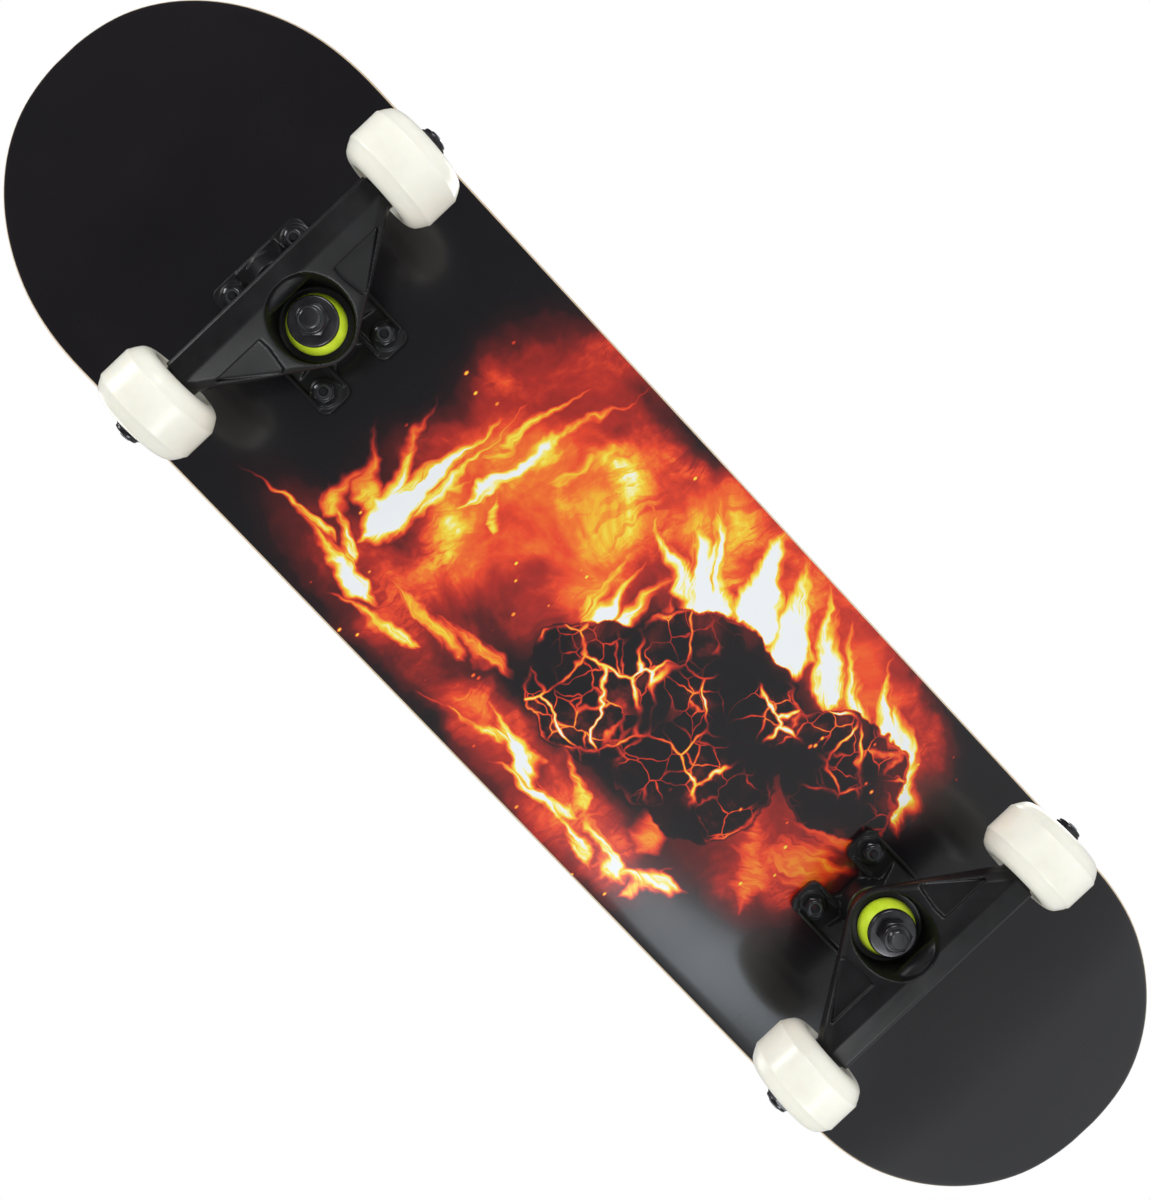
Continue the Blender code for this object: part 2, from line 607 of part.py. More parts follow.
def truck_meshes():
    """Every mesh of a truck, drawn once and shared by both trucks."""
    pin_nut = nut_mesh("kingpin_nut", KINGPIN_NUT_ACROSS_FLATS, KINGPIN_NUT_HEIGHT, PIN_BORE, collar=1.5)
    deck_washer = cup_washer_mesh(BUSHING_TOP_HIGH + GAP, WASHER_TOP_HIGH, 14.0, -1.2)
    road_washer = cup_washer_mesh(WASHER_ROAD_LOW, BUSHING_ROAD_LOW - GAP, 12.0, 1.2)
    deck_bushing = bushing_mesh(BUSHING_TOP_LOW, BUSHING_TOP_HIGH, 12.4, 13.2, 12.2)
    road_bushing = bushing_mesh(BUSHING_ROAD_LOW, BUSHING_ROAD_HIGH, 10.4, 13.2, 14.4)
    return {
        "baseplate": (baseplate_mesh(), black_casting()),
        "pivot_cup": (pivot_cup_mesh(), black_urethane()),
        "kingpin": (kingpin_mesh(), black_steel()),
        "kingpin_nut": (pin_nut, black_steel()),
        "washer_deck_side": (deck_washer, black_steel()),
        "washer_road_side": (road_washer, black_steel()),
        "bushing_deck_side": (deck_bushing, lime_urethane()),
        "bushing_road_side": (road_bushing, lime_urethane()),
        "hanger": (hanger_mesh(), black_casting()),
        "axle": (axle_mesh(), bright_steel()),
    }


def wheel_meshes():
    """Pieces on each end of an axle, with their distance from the wheel's middle, outwards."""
    bearing = bearing_mesh()
    seat = BEARING_SEAT + BEARING_WIDTH / 2
    face = BEARING_SEAT + BEARING_WIDTH
    return {
        "wheel": (wheel_mesh(), white_urethane(), 0.0),
        "bearing_inboard": (bearing, bright_steel(), -seat),
        "bearing_outboard": (bearing, bright_steel(), seat),
        "speed_washer": (washer_mesh(), bright_steel(), -(face + GAP + WASHER_THICKNESS / 2)),
        "axle_nut": (axle_nut_mesh(), black_steel(), face + AXLE_NUT_GAP),
    }


def build_trucks():
    """Both trucks; the steering empty lies on the steering axis, each wheel's empty on its axle."""
    castings = truck_meshes()
    running_gear = wheel_meshes()
    steered = ("hanger", "axle")
    for truck, side, turn in (("front", 1.0, 0.0), ("rear", -1.0, pi)):
        base = empty(truck + "_truck", location=(side * AXLE_U, 0.0, WHEEL_RADIUS), turn=turn)
        steer = empty(truck + "_steering", base, (KINGPIN_U, 0.0, RING_MID_W))
        for name, (mesh, slot) in castings.items():
            if name in steered:
                place(f"{truck}_{name}", mesh, slot, steer, (-KINGPIN_U, 0.0, -RING_MID_W))
                continue
            centred = name not in ("baseplate", "pivot_cup")
            piece = place(f"{truck}_{name}", mesh, slot, base, (KINGPIN_U if centred else 0.0, 0.0, 0.0))
            if name == "kingpin_nut":
                piece.location.z = NUT_HIGH * MM
                piece.rotation_euler.x = pi
        for hand, v in (("left", side), ("right", -side)):
            hub = empty(f"{truck}_{hand}_hub", steer, (-KINGPIN_U, v * WHEEL_MID_V, -RING_MID_W))
            for name, (mesh, slot, reach) in running_gear.items():
                piece = place(f"{truck}_{hand}_{name}", mesh, slot, hub, (0.0, v * reach, 0.0))
                if name == "axle_nut":
                    piece.rotation_euler.x = -v * pi / 2


def main():
    for old in list(bpy.data.objects):
        bpy.data.objects.remove(old, do_unlink=True)
    build_deck()
    build_grip()
    build_mounting_hardware()
    build_trucks()
    bpy.context.view_layer.update()


main()
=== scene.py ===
"""Looks for the skateboard: lacquered flame print, plies, grit, cast trucks, urethane wheels and hardware.

Lengths of pieces are in millimetres and become metres through MM. A truck is drawn in its own frame: u
outwards along the board, v to the left, w up, from the middle of the axle. The rear truck is the front
one turned half a turn.
"""

import json
from functools import reduce
from math import atan2, cos, pi, radians, sin, sqrt, tan

import bmesh
import bpy
from mathutils import Matrix, Vector


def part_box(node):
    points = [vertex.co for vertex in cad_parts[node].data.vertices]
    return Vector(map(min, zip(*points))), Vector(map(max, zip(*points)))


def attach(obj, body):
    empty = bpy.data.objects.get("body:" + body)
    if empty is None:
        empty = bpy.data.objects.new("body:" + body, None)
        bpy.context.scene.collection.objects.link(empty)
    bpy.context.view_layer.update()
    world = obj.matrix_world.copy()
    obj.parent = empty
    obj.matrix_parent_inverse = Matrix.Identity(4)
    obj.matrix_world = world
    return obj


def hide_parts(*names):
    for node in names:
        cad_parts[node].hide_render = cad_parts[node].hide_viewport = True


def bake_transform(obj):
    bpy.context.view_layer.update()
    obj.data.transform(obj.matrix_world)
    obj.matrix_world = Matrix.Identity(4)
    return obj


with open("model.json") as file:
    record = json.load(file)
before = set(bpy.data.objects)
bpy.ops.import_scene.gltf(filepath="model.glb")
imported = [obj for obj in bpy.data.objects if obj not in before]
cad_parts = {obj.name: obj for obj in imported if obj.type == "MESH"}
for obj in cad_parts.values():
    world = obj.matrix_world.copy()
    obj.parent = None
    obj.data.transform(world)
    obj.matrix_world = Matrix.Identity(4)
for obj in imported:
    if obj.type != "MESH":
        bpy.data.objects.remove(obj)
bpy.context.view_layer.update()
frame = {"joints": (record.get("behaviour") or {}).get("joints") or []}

MM = 0.001


# ------------------------------------------------------------------ the frame, in millimetres

def low(node, axis):
    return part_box(node)[0][axis] / MM


def high(node, axis):
    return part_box(node)[1][axis] / MM


def middle(node, axis):
    return (low(node, axis) + high(node, axis)) / 2


X = 0
Y = 1
Z = 2
GAP = 0.3                                            # clearance that touching pieces keep
GRIP_THICKNESS = 0.8
STEER = next(j for j in frame["joints"] if j["name"] == "front_truck_steer")
AXLE_X = middle("front_axle", X)
AXLE_Z = middle("front_axle", Z)
PIN_U = STEER["pos_m"][X] / MM - AXLE_X              # kingpin, and the ring's middle
RING_W = STEER["pos_m"][Z] / MM - AXLE_Z
TILT = atan2(STEER["axis"][Z], STEER["axis"][X])     # rise of the steering axis, outwards
BASE_TOP = high("front_baseplate", Z) - AXLE_Z
BASE_LOW = high("front_nut_inner_left", Z) + GAP - AXLE_Z
BOSS_LOW = high("front_washer_deck_side", Z) + GAP - AXLE_Z
BOLT_INNER = middle("front_bolt_inner_left", X) - AXLE_X
BOLT_OUTER = middle("front_bolt_outer_left", X) - AXLE_X
BOLT_V = middle("front_bolt_inner_left", Y)
HANGER_HALF = high("front_hanger", Y)
WHEEL_V = middle("front_left_wheel", Y)
WHEEL_HALF = high("front_left_wheel", Y) - WHEEL_V
WHEEL_RADIUS = AXLE_Z - low("front_left_wheel", Z)
DECK_HALF_LENGTH = high("deck", X)
DECK_HALF_WIDTH = high("deck", Y)
UNDERSIDE = high("front_baseplate", Z) + GAP
GRIP_TOP = high("front_bolt_inner_left", Z)
DECK_TOP = GRIP_TOP - GRIP_THICKNESS - GAP

NOSE_LENGTH = 132.0
NOSE_POWER = 2.15
KICK_START = 268.0
KICK_RADIUS = 160.0
KICK_ANGLE = radians(22.0)
CONCAVE_FLAT = 33.0
CONCAVE_RISE = 9.0
CONCAVE_POWER = 1.6
EDGE_ROUND = 2.8
PLIES = 7

BOLT_HOLE = 2.6
PIN_RADIUS = 4.75
AXLE_RADIUS = 4.0
SEAT_HALF = 3.15              # half-thickness of the ring's floor, which the two bushings hold


# ------------------------------------------------------------------ materials

class Field:
    """A number that varies over a surface, written as arithmetic and built from Math nodes."""

    def __init__(self, look, socket):
        self.look = look
        self.socket = socket

    def math(self, operation, *others):
        node = self.look.node("ShaderNodeMath", operation=operation)
        self.look.fill(node.inputs, (self, *others))
        return Field(self.look, node.outputs[0])

    def __add__(self, other):
        return self.math("ADD", other)

    __radd__ = __add__

    def __sub__(self, other):
        return self.math("SUBTRACT", other)

    def __rsub__(self, other):
        return (self * -1.0) + other

    def __mul__(self, other):
        return self.math("MULTIPLY", other)

    __rmul__ = __mul__

    def __truediv__(self, other):
        return self.math("DIVIDE", other)

    def size(self):
        return self.math("ABSOLUTE")

    def least(self, other):
        return self.math("MINIMUM", other)

    def most(self, other):
        return self.math("MAXIMUM", other)

    def step(self, start, end):
        """0 before start, 1 after end, smooth between; start may be the larger."""
        node = self.look.node("ShaderNodeMapRange", interpolation_type="SMOOTHSTEP")
        self.look.link(self.socket, node.inputs["Value"])
        flip = start > end
        node.inputs["From Min"].default_value = min(start, end)
        node.inputs["From Max"].default_value = max(start, end)
        node.inputs["To Min"].default_value = 1.0 if flip else 0.0
        node.inputs["To Max"].default_value = 0.0 if flip else 1.0
        return Field(self.look, node.outputs["Result"])


class Look:
    """A Principled material and short calls that add nodes to it."""

    def __init__(self, name, colour, roughness, metallic=0.0, **extra):
        self.material = bpy.data.materials.new(name)
        self.material.use_nodes = True
        self.tree = self.material.node_tree
        self.shader = self.tree.nodes["Principled BSDF"]
        self.set("Base Color", (*colour, 1.0))
        self.set("Roughness", roughness)
        self.set("Metallic", metallic)
        for name_of_socket, value in extra.items():
            self.set(name_of_socket.replace("_", " "), value)
        self.place = self.node("ShaderNodeTexCoord").outputs["Object"]

    def node(self, kind, **settings):
        made = self.tree.nodes.new(kind)
        for key, value in settings.items():
            setattr(made, key, value)
        return made

    def link(self, start, end):
        self.tree.links.new(start, end)

    def fill(self, entries, values):
        """Gives a node's inputs their values, each a field or a plain number."""
        for entry, value in zip(entries, values):
            if isinstance(value, Field):
                self.link(value.socket, entry)
            else:
                entry.default_value = value

    def set(self, socket, value):
        self.shader.inputs[socket].default_value = value

    def feed(self, socket, value):
        self.link(value.socket if isinstance(value, Field) else value, self.shader.inputs[socket])

    def axes(self):
        """Position in millimetres, as three fields."""
        split = self.node("ShaderNodeSeparateXYZ")
        self.link(self.place, split.inputs[0])
        return [Field(self, out) * (1.0 / MM) for out in split.outputs]

    def vector(self, x, y, z=0.0):
        joined = self.node("ShaderNodeCombineXYZ")
        self.fill(joined.inputs, (x, y, z))
        return joined.outputs[0]

    def noise(self, scale, detail=3.0, roughness=0.5, vector=None, distortion=0.0):
        """Noise from 0 to 1; scale is in features per metre on plain positions."""
        made = self.node("ShaderNodeTexNoise")
        self.link(vector or self.place, made.inputs["Vector"])
        made.inputs["Scale"].default_value = scale
        made.inputs["Detail"].default_value = detail
        made.inputs["Roughness"].default_value = roughness
        made.inputs["Distortion"].default_value = distortion
        return Field(self, made.outputs["Fac"])

    def cells(self, scale, feature="F1", vector=None, randomness=1.0):
        made = self.node("ShaderNodeTexVoronoi", feature=feature)
        self.link(vector or self.place, made.inputs["Vector"])
        made.inputs["Scale"].default_value = scale
        made.inputs["Randomness"].default_value = randomness
        return Field(self, made.outputs["Distance"])

    def ramp(self, value, stops, interpolation="LINEAR"):
        """A colour for each value; stops are (position, (r, g, b))."""
        made = self.node("ShaderNodeValToRGB")
        self.link(value.socket, made.inputs[0])
        ramp = made.color_ramp
        ramp.interpolation = interpolation
        while len(ramp.elements) < len(stops):
            ramp.elements.new(0.5)
        for element, (position, colour) in zip(ramp.elements, stops):
            element.position = position
            element.color = (*colour, 1.0)
        return made.outputs[0]

    def blend(self, share, first, second, kind="MIX"):
        """Colours mixed by a field; first and second are sockets or plain colours."""
        made = self.node("ShaderNodeMix", data_type="RGBA", blend_type=kind)
        if isinstance(share, Field):
            self.link(share.socket, made.inputs[0])
        else:
            made.inputs[0].default_value = share
        for entry, value in ((made.inputs[6], first), (made.inputs[7], second)):
            if isinstance(value, tuple):
                entry.default_value = (*value, 1.0)
            else:
                self.link(value, entry)
        return made.outputs[2]

    def bump(self, height, depth, strength=1.0):
        """Relief of a height field, its depth in millimetres."""
        made = self.node("ShaderNodeBump")
        made.inputs["Strength"].default_value = strength
        made.inputs["Distance"].default_value = depth * MM
        self.link(height.socket, made.inputs["Height"])
        self.feed("Normal", made.outputs[0])


FIRE = [
    (0.0, (0.0, 0.0, 0.0)),
    (0.12, (0.014, 0.001, 0.001)),
    (0.26, (0.12, 0.004, 0.002)),
    (0.4, (0.5, 0.014, 0.003)),
    (0.52, (0.92, 0.055, 0.005)),
    (0.64, (1.0, 0.2, 0.008)),
    (0.76, (1.0, 0.55, 0.012)),
    (0.86, (1.0, 0.84, 0.06)),
    (0.94, (1.0, 0.96, 0.5)),
    (1.0, (0.93, 0.97, 1.0)),
]

# Flame tongues: root, tip, half-width and heat, in groups that lick the same way (degrees from the nose).
FAN = (88.0, [
    ((117, -42), (113, 42), 13, 1.12),
    ((112, -30), (96, 12), 7, 0.8),
    ((122, -34), (140, 10), 8, 0.78),
    ((106, -20), (108, 56), 6, 0.75),
    ((128, -44), (150, -14), 7, 0.62),
    ((136, -60), (140, -26), 8, 0.6),
])
STREAKS = (108.0, [
    ((93, 4), (72, 104), 6, 0.84),
    ((90, 12), (80, 66), 5, 0.66),
    ((102, 24), (88, 92), 6, 0.66),
    ((70, 34), (50, 96), 7, 0.6),
    ((78, -4), (98, 22), 6, 0.66),
])
LEFT_RAIL = (182.0, [
    ((136, -72), (184, -74), 4, 0.7),
    ((100, -78), (150, -75), 8, 0.95),
    ((116, -70), (142, -52), 7, 0.78),
    ((66, -80), (116, -90), 6, 0.72),
    ((52, -62), (124, -66), 7, 0.62),
    ((24, -54), (74, -58), 7, 0.56),
    ((-6, -78), (40, -94), 6, 0.72),
    ((-30, -80), (18, -68), 9, 0.95),
    ((-56, -80), (-12, -92), 8, 0.92),
    ((-76, -88), (-30, -76), 7, 0.8),
    ((-96, -84), (-48, -70), 8, 0.85),
    ((-122, -72), (-80, -92), 8, 0.84),
    ((-60, -72), (-22, -54), 6, 0.66),
    ((-112, -86), (-120, -60), 6, 0.66),
])
RIGHT_RAIL = (52.0, [
    ((-174, 48), (-124, 96), 13, 1.0),
    ((-150, 62), (-112, 104), 12, 0.95),
    ((-132, 58), (-82, 100), 11, 0.82),
    ((-104, 62), (-62, 106), 14, 0.95),
    ((-76, 60), (-48, 108), 16, 1.05),
    ((-52, 58), (-26, 108), 18, 1.2),
    ((-34, 42), (18, 78), 17, 1.12),
    ((-22, 56), (10, 102), 12, 0.88),
    ((-12, 44), (38, 66), 9, 0.8),
    ((-24, 10), (-12, 38), 8, 0.82),
])
SPURT = (80.0, [
    ((1, -10), (8, 38), 11, 1.12),
    ((-6, 6), (-4, 50), 8, 0.8),
    ((12, 4), (22, 58), 7, 0.66),
])
SHEETS = (150.0, [
    ((-98, -60), (-92, -24), 13, 0.5),
    ((-170, -4), (-118, -44), 19, 0.5),
    ((-150, -38), (-112, 14), 15, 0.48),
    ((-172, 18), (-128, -10), 13, 0.46),
])

# Soft haze: middle, radii and heat.
HAZE = [
    ((100, -16), (58, 62), 0.3),
    ((88, 52), (70, 84), 0.47),
    ((52, -2), (66, 70), 0.38),
    ((16, 48), (60, 66), 0.38),
    ((-60, 88), (104, 50), 0.47),
    ((-144, 62), (64, 54), 0.36),
    ((84, -74), (116, 34), 0.3),
    ((-50, -82), (104, 36), 0.38),
    ((-136, -18), (74, 60), 0.36),
]
ROCKS = [
    ((-22, -26), (48, 42)),
    ((-64, 16), (60, 48)),
    ((-86, -18), (54, 42)),
    ((-142, 36), (48, 36)),
]


def tongue(x, y, root, tip, width, heat):
    """Heat of one flame tongue: hottest near its root, fading towards its tip and sides."""
    reach = Vector(tip) - Vector(root)
    along = reach.normalized()
    s = ((x - root[0]) * along.x + (y - root[1]) * along.y) / reach.length
    r = ((y - root[1]) * along.x - (x - root[0]) * along.y) / width
    outline = (1.0 - s).least(s * 4.0 + 1.0)
    return (outline - r.size()).step(-0.45, 0.8) * heat


def glow(x, y, centre, radii):
    """Soft ellipse: 1 in the middle, 0 at its rim."""
    dx = (x - centre[0]) / radii[0]
    dy = (y - centre[1]) / radii[1]
    return (dx * dx + dy * dy).step(1.0, 0.0)


def licks(look, x, y, heading, seed):
    """Bright filaments that run along a heading."""
    forward = cos(radians(heading))
    sideways = sin(radians(heading))
    along = x * forward + y * sideways
    across = y * forward - x * sideways
    fine = look.noise(1.0, 4.0, 0.6, look.vector(across * 0.13, along * 0.026, seed), 0.5)
    return 1.0 - (fine * 2.0 - 1.0).size()


def flame_print():
    """Lacquered underside: black ends, and a generic picture of fire, embers and cracked coals."""
    look = Look("flame_print", (0.012, 0.011, 0.013), 0.24, Coat_Weight=0.5, Coat_Roughness=0.14)
    x, y, _ = look.axes()
    sway = look.noise(1.0, 3.0, 0.55, look.vector(x * 0.03, y * 0.03, 3.0)) - 0.5
    curl = look.noise(1.0, 3.0, 0.55, look.vector(x * 0.034, y * 0.034, 9.0)) - 0.5
    px = x + sway * 26.0
    py = y + curl * 26.0

    groups = []
    for seed, (heading, tongues) in enumerate((FAN, STREAKS, LEFT_RAIL, RIGHT_RAIL, SPURT, SHEETS)):
        strands = licks(look, px, py, heading, seed * 7.0)
        body = reduce(Field.most, (tongue(px, py, *shape) for shape in tongues))
        groups.append(body * (strands * 0.85 + 0.34) + (strands - 0.55) * body.step(0.0, 0.4) * 0.22)
    fire = reduce(Field.most, groups)

    clouds = (glow(px, py, centre, radii) * strength for centre, radii, strength in HAZE)
    haze = reduce(Field.__add__, clouds)
    smoke = look.noise(22.0, 6.0, 0.6, distortion=0.4)
    haze = haze.least(0.6) * (smoke * 1.5 + 0.3)

    coals = reduce(Field.most, (glow(px, py, *rock) for rock in ROCKS))
    rough = coals + (look.noise(40.0, 4.0, 0.6) - 0.5) * 0.5
    rock = rough.step(0.18, 0.3)
    lit = look.noise(24.0, 2.0).step(0.34, 0.6)
    cracks = look.vector(px * MM, py * MM, 0.0)
    seam = look.cells(30.0, "DISTANCE_TO_EDGE", cracks).step(0.05, 0.0)
    crazing = look.cells(75.0, "DISTANCE_TO_EDGE", cracks).step(0.06, 0.0)
    rim = rock * (1.0 - rough.step(0.24, 0.42))
    seams = (seam * 0.85).most(crazing * 0.5).most(rim * 0.62) * lit * rock

    faces = look.noise(46.0, 4.0, 0.65).step(0.46, 0.72) * rock * lit * 0.3

    flying = look.noise(14.0, 1.0).step(0.42, 0.56) * haze.step(0.03, 0.2)
    sparks = look.cells(120.0, "F1", look.vector(x * MM, y * MM * 0.6)).step(0.17, 0.05) * flying
    fibres = licks(look, px, py, 100.0, 50.0).step(0.72, 0.98) * haze.step(0.16, 0.5) * smoke.step(0.4, 0.7)

    air = haze + fibres * 0.2
    behind_rocks = (air * (1.0 - rock * 0.92)).most(fire * (1.0 - rock * 0.8))
    total = behind_rocks.most(seams + faces).most(sparks * 0.85)
    reach = x.step(202.0, 172.0) * x.step(-206.0, -176.0)
    flames = look.ramp((total * reach).least(1.0), FIRE)
    shades = [(0.3, (0.004, 0.0035, 0.005)), (0.7, (0.009, 0.0075, 0.009))]
    black = look.ramp(look.noise(9.0, 5.0, 0.6), shades)
    look.feed("Base Color", look.blend(1.0, black, flames, "ADD"))
    look.feed("Roughness", look.noise(22.0, 4.0) * 0.12 + 0.2)
    look.bump(look.noise(260.0, 3.0) + look.noise(14.0, 2.0) * 2.0, 0.02)
    return look.material


def ply_edge():
    """Sanded edge of the deck: seven plies, the crossbands a little darker, with end grain."""
    look = Look("ply_edge", (0.75, 0.6, 0.42), 0.55)
    share = Field(look, look.node("ShaderNodeAttribute", attribute_name="ply_height").outputs["Fac"])
    ply = (share * PLIES).math("FRACT")
    glue = (ply - 0.5).size().step(0.44, 0.5)
    band = (share * PLIES * 0.5).math("FRACT").step(0.48, 0.52)
    x, y, z = look.axes()
    grain = look.noise(1.0, 5.0, 0.7, look.vector(x * 0.12, y * 0.12, z * 2.6))
    pale = look.ramp(grain, [(0.25, (0.63, 0.46, 0.27)), (0.75, (0.86, 0.73, 0.53))])
    deep = look.ramp(grain, [(0.25, (0.46, 0.29, 0.15)), (0.75, (0.72, 0.53, 0.33))])
    wood = look.blend(band, pale, deep)
    look.feed("Base Color", look.blend(glue * 0.6, wood, (0.24, 0.13, 0.06)))
    look.bump(grain + glue * -0.6, 0.12)
    return look.material


def grit():
    """Silicon-carbide grit on the top sheet."""
    look = Look("grit", (0.02, 0.02, 0.021), 0.85, Specular_IOR_Level=0.35)
    grains = look.cells(1500.0)
    tint = look.noise(900.0, 2.0)
    shades = [(0.35, (0.007, 0.007, 0.008)), (0.62, (0.03, 0.03, 0.032)), (0.72, (0.12, 0.12, 0.125))]
    look.feed("Base Color", look.ramp(tint, shades))
    look.feed("Roughness", look.noise(1200.0, 1.0).step(0.35, 0.7) * 0.4 + 0.5)
    look.bump(1.0 - grains, 0.35)
    return look.material


def casting():
    """Satin black powder coat on the castings, a little dusty, with fine orange peel."""
    look = Look("black_coat", (0.012, 0.012, 0.013), 0.36, Specular_IOR_Level=0.42)
    dust = look.noise(45.0, 6.0, 0.65)
    look.feed("Base Color", look.ramp(dust, [(0.35, (0.004, 0.004, 0.0045)), (0.7, (0.011, 0.011, 0.012))]))
    look.feed("Roughness", look.noise(70.0, 4.0) * 0.2 + 0.24)
    look.bump(look.noise(1100.0, 3.0), 0.03)
    return look.material


def black_steel():
    """Black oxide on turned and rolled steel, rubbed a little brighter in places."""
    look = Look("black_oxide", (0.05, 0.05, 0.055), 0.24, 0.9)
    wear = look.noise(90.0, 3.0)
    look.feed("Base Color", look.ramp(wear, [(0.35, (0.055, 0.055, 0.06)), (0.75, (0.12, 0.12, 0.127))]))
    look.feed("Roughness", look.noise(350.0, 2.0) * 0.1 + 0.19)
    look.bump(look.noise(1500.0, 2.0), 0.004)
    return look.material


def bright_steel():
    """Turned steel with fine circular tool marks round Y."""
    look = Look("turned_steel", (0.6, 0.6, 0.61), 0.25, 1.0)
    _, y, _ = look.axes()
    marks = look.noise(1.0, 2.0, 0.6, look.vector(0.0, y * 9.0, 0.0))
    stain = look.noise(160.0, 4.0)
    look.feed("Base Color", look.ramp(stain, [(0.3, (0.42, 0.42, 0.43)), (0.7, (0.66, 0.66, 0.67))]))
    look.feed("Roughness", marks * 0.2 + 0.17)
    look.bump(marks, 0.02)
    return look.material


def bushing_urethane():
    """Lime urethane, a little cloudy and translucent."""
    look = Look("lime_urethane", (0.56, 0.72, 0.03), 0.34, Subsurface_Weight=0.25, Subsurface_Scale=0.003)
    look.set("Subsurface Radius", (0.8, 1.0, 0.3))
    cloud = look.noise(120.0, 3.0)
    look.feed("Base Color", look.ramp(cloud, [(0.3, (0.47, 0.64, 0.015)), (0.7, (0.64, 0.79, 0.05))]))
    look.feed("Roughness", look.noise(300.0, 3.0) * 0.2 + 0.25)
    look.bump(look.noise(700.0, 3.0), 0.03)
    return look.material


def wheel_urethane():
    """Cream urethane, slightly translucent, with the mould's faint flow marks."""
    look = Look("cream_urethane", (0.74, 0.73, 0.66), 0.3, Subsurface_Weight=0.35, Subsurface_Scale=0.004)
    look.set("Subsurface Radius", (1.0, 0.9, 0.6))
    look.set("Coat Weight", 0.35)
    look.set("Coat Roughness", 0.2)
    cloud = look.noise(38.0, 4.0, 0.6)
    look.feed("Base Color", look.ramp(cloud, [(0.3, (0.70, 0.69, 0.60)), (0.7, (0.78, 0.775, 0.70))]))
    look.feed("Roughness", look.noise(140.0, 4.0) * 0.16 + 0.24)
    look.bump(look.noise(420.0, 3.0), 0.03)
    return look.material


def shield_rubber():
    """Bearing shields and other small rubber."""
    look = Look("shield_rubber", (0.016, 0.016, 0.017), 0.5)
    look.feed("Roughness", look.noise(400.0, 3.0) * 0.3 + 0.35)
    shades = [(0.3, (0.01, 0.01, 0.011)), (0.7, (0.026, 0.026, 0.028))]
    look.feed("Base Color", look.ramp(look.noise(200.0, 3.0), shades))
    look.bump(look.noise(900.0, 2.0), 0.03)
    return look.material


def nylon():
    """Locking rings of the nuts."""
    look = Look("nylon_insert", (0.05, 0.055, 0.06), 0.45)
    look.feed("Roughness", look.noise(350.0, 3.0) * 0.25 + 0.32)
    shades = [(0.3, (0.03, 0.033, 0.036)), (0.7, (0.07, 0.075, 0.08))]
    look.feed("Base Color", look.ramp(look.noise(150.0, 3.0), shades))
    look.bump(look.noise(900.0, 2.0), 0.02)
    return look.material


PRINT = flame_print()
PLY = ply_edge()
GRIT = grit()
CASTING = casting()
BLACK_STEEL = black_steel()
STEEL = bright_steel()
LIME = bushing_urethane()
CREAM = wheel_urethane()
RUBBER = shield_rubber()
NYLON = nylon()


# ------------------------------------------------------------------ solids

def new_object(name, data):
    made = bpy.data.objects.new(name, data)
    bpy.context.scene.collection.objects.link(made)
    return made


def to_mesh(bm, name, materials, smooth_angle=32.0):
    """A bmesh drawn in millimetres as a mesh in metres, outward, with smooth round sides."""
    bmesh.ops.recalc_face_normals(bm, faces=bm.faces)
    bmesh.ops.scale(bm, vec=(MM, MM, MM), verts=bm.verts)
    mesh = bpy.data.meshes.new(name)
    bm.to_mesh(mesh)
    bm.free()
    for slot in materials:
        mesh.materials.append(slot)
    mesh.shade_smooth()
    mesh.set_sharp_from_angle(angle=radians(smooth_angle))
    return mesh


def applied(mesh, *modifiers):
    """The mesh with modifiers, each a (type, settings) pair, applied in order."""
    holder = new_object("holder", mesh)
    for kind, settings in modifiers:
        modifier = holder.modifiers.new(kind.lower(), kind)
        for key, value in settings.items():
            setattr(modifier, key, value)
    bpy.context.view_layer.update()
    graph = bpy.context.evaluated_depsgraph_get()
    result = bpy.data.meshes.new_from_object(holder.evaluated_get(graph), depsgraph=graph)
    bpy.data.objects.remove(holder, do_unlink=True)
    return result


def combined(base, steps):
    """Unions and cuts meshes with a base mesh; steps are (operation, mesh)."""
    tools = [(operation, new_object("tool", mesh)) for operation, mesh in steps]
    result = applied(base, *(("BOOLEAN", {"operation": op, "object": made}) for op, made in tools))
    for _, made in tools:
        bpy.data.objects.remove(made, do_unlink=True)
    return result


def coated(mesh, material):
    mesh.materials.clear()
    mesh.materials.append(material)
    return mesh


def cast(mesh):
    """A cast look: remeshed evenly, edges melted round, then thinned out again."""
    result = applied(
        mesh,
        ("REMESH", {"mode": "VOXEL", "voxel_size": 0.6 * MM}),
        ("SMOOTH", {"factor": 0.5, "iterations": 3}),
        ("DECIMATE", {"ratio": 0.3}),
    )
    result.shade_smooth()
    return coated(result, CASTING)


def all_round(segments):
    """Evenly spaced angles of a full turn."""
    return [2 * pi * i / segments for i in range(segments)]


def turned(profile, segments=48, axis="Z", zones=()):
    """A turned solid from (radius, height) points: a closed profile, or an open one with flat ends.

    zones gives (first, last, slot): those stretches of the profile get that material slot.
    """
    bm = bmesh.new()
    solid = profile[0][0] == 0.0
    points = profile[1:-1] if solid else profile
    rows = [[bm.verts.new((r * cos(a), r * sin(a), h)) for a in all_round(segments)] for r, h in points]
    pairs = list(zip(rows, rows[1:]))
    if solid:
        bm.faces.new(rows[0])
        bm.faces.new(rows[-1])
    else:
        pairs.append((rows[-1], rows[0]))
    for index, (first, second) in enumerate(pairs):
        slot = next((z[2] for z in zones if z[0] <= index < z[1]), 0)
        for i in range(segments):
            j = (i + 1) % segments
            bm.faces.new((first[i], first[j], second[j], second[i])).material_index = slot
    if axis == "Y":
        bmesh.ops.rotate(bm, matrix=Matrix.Rotation(-pi / 2, 3, "X"), verts=bm.verts)
    return bm


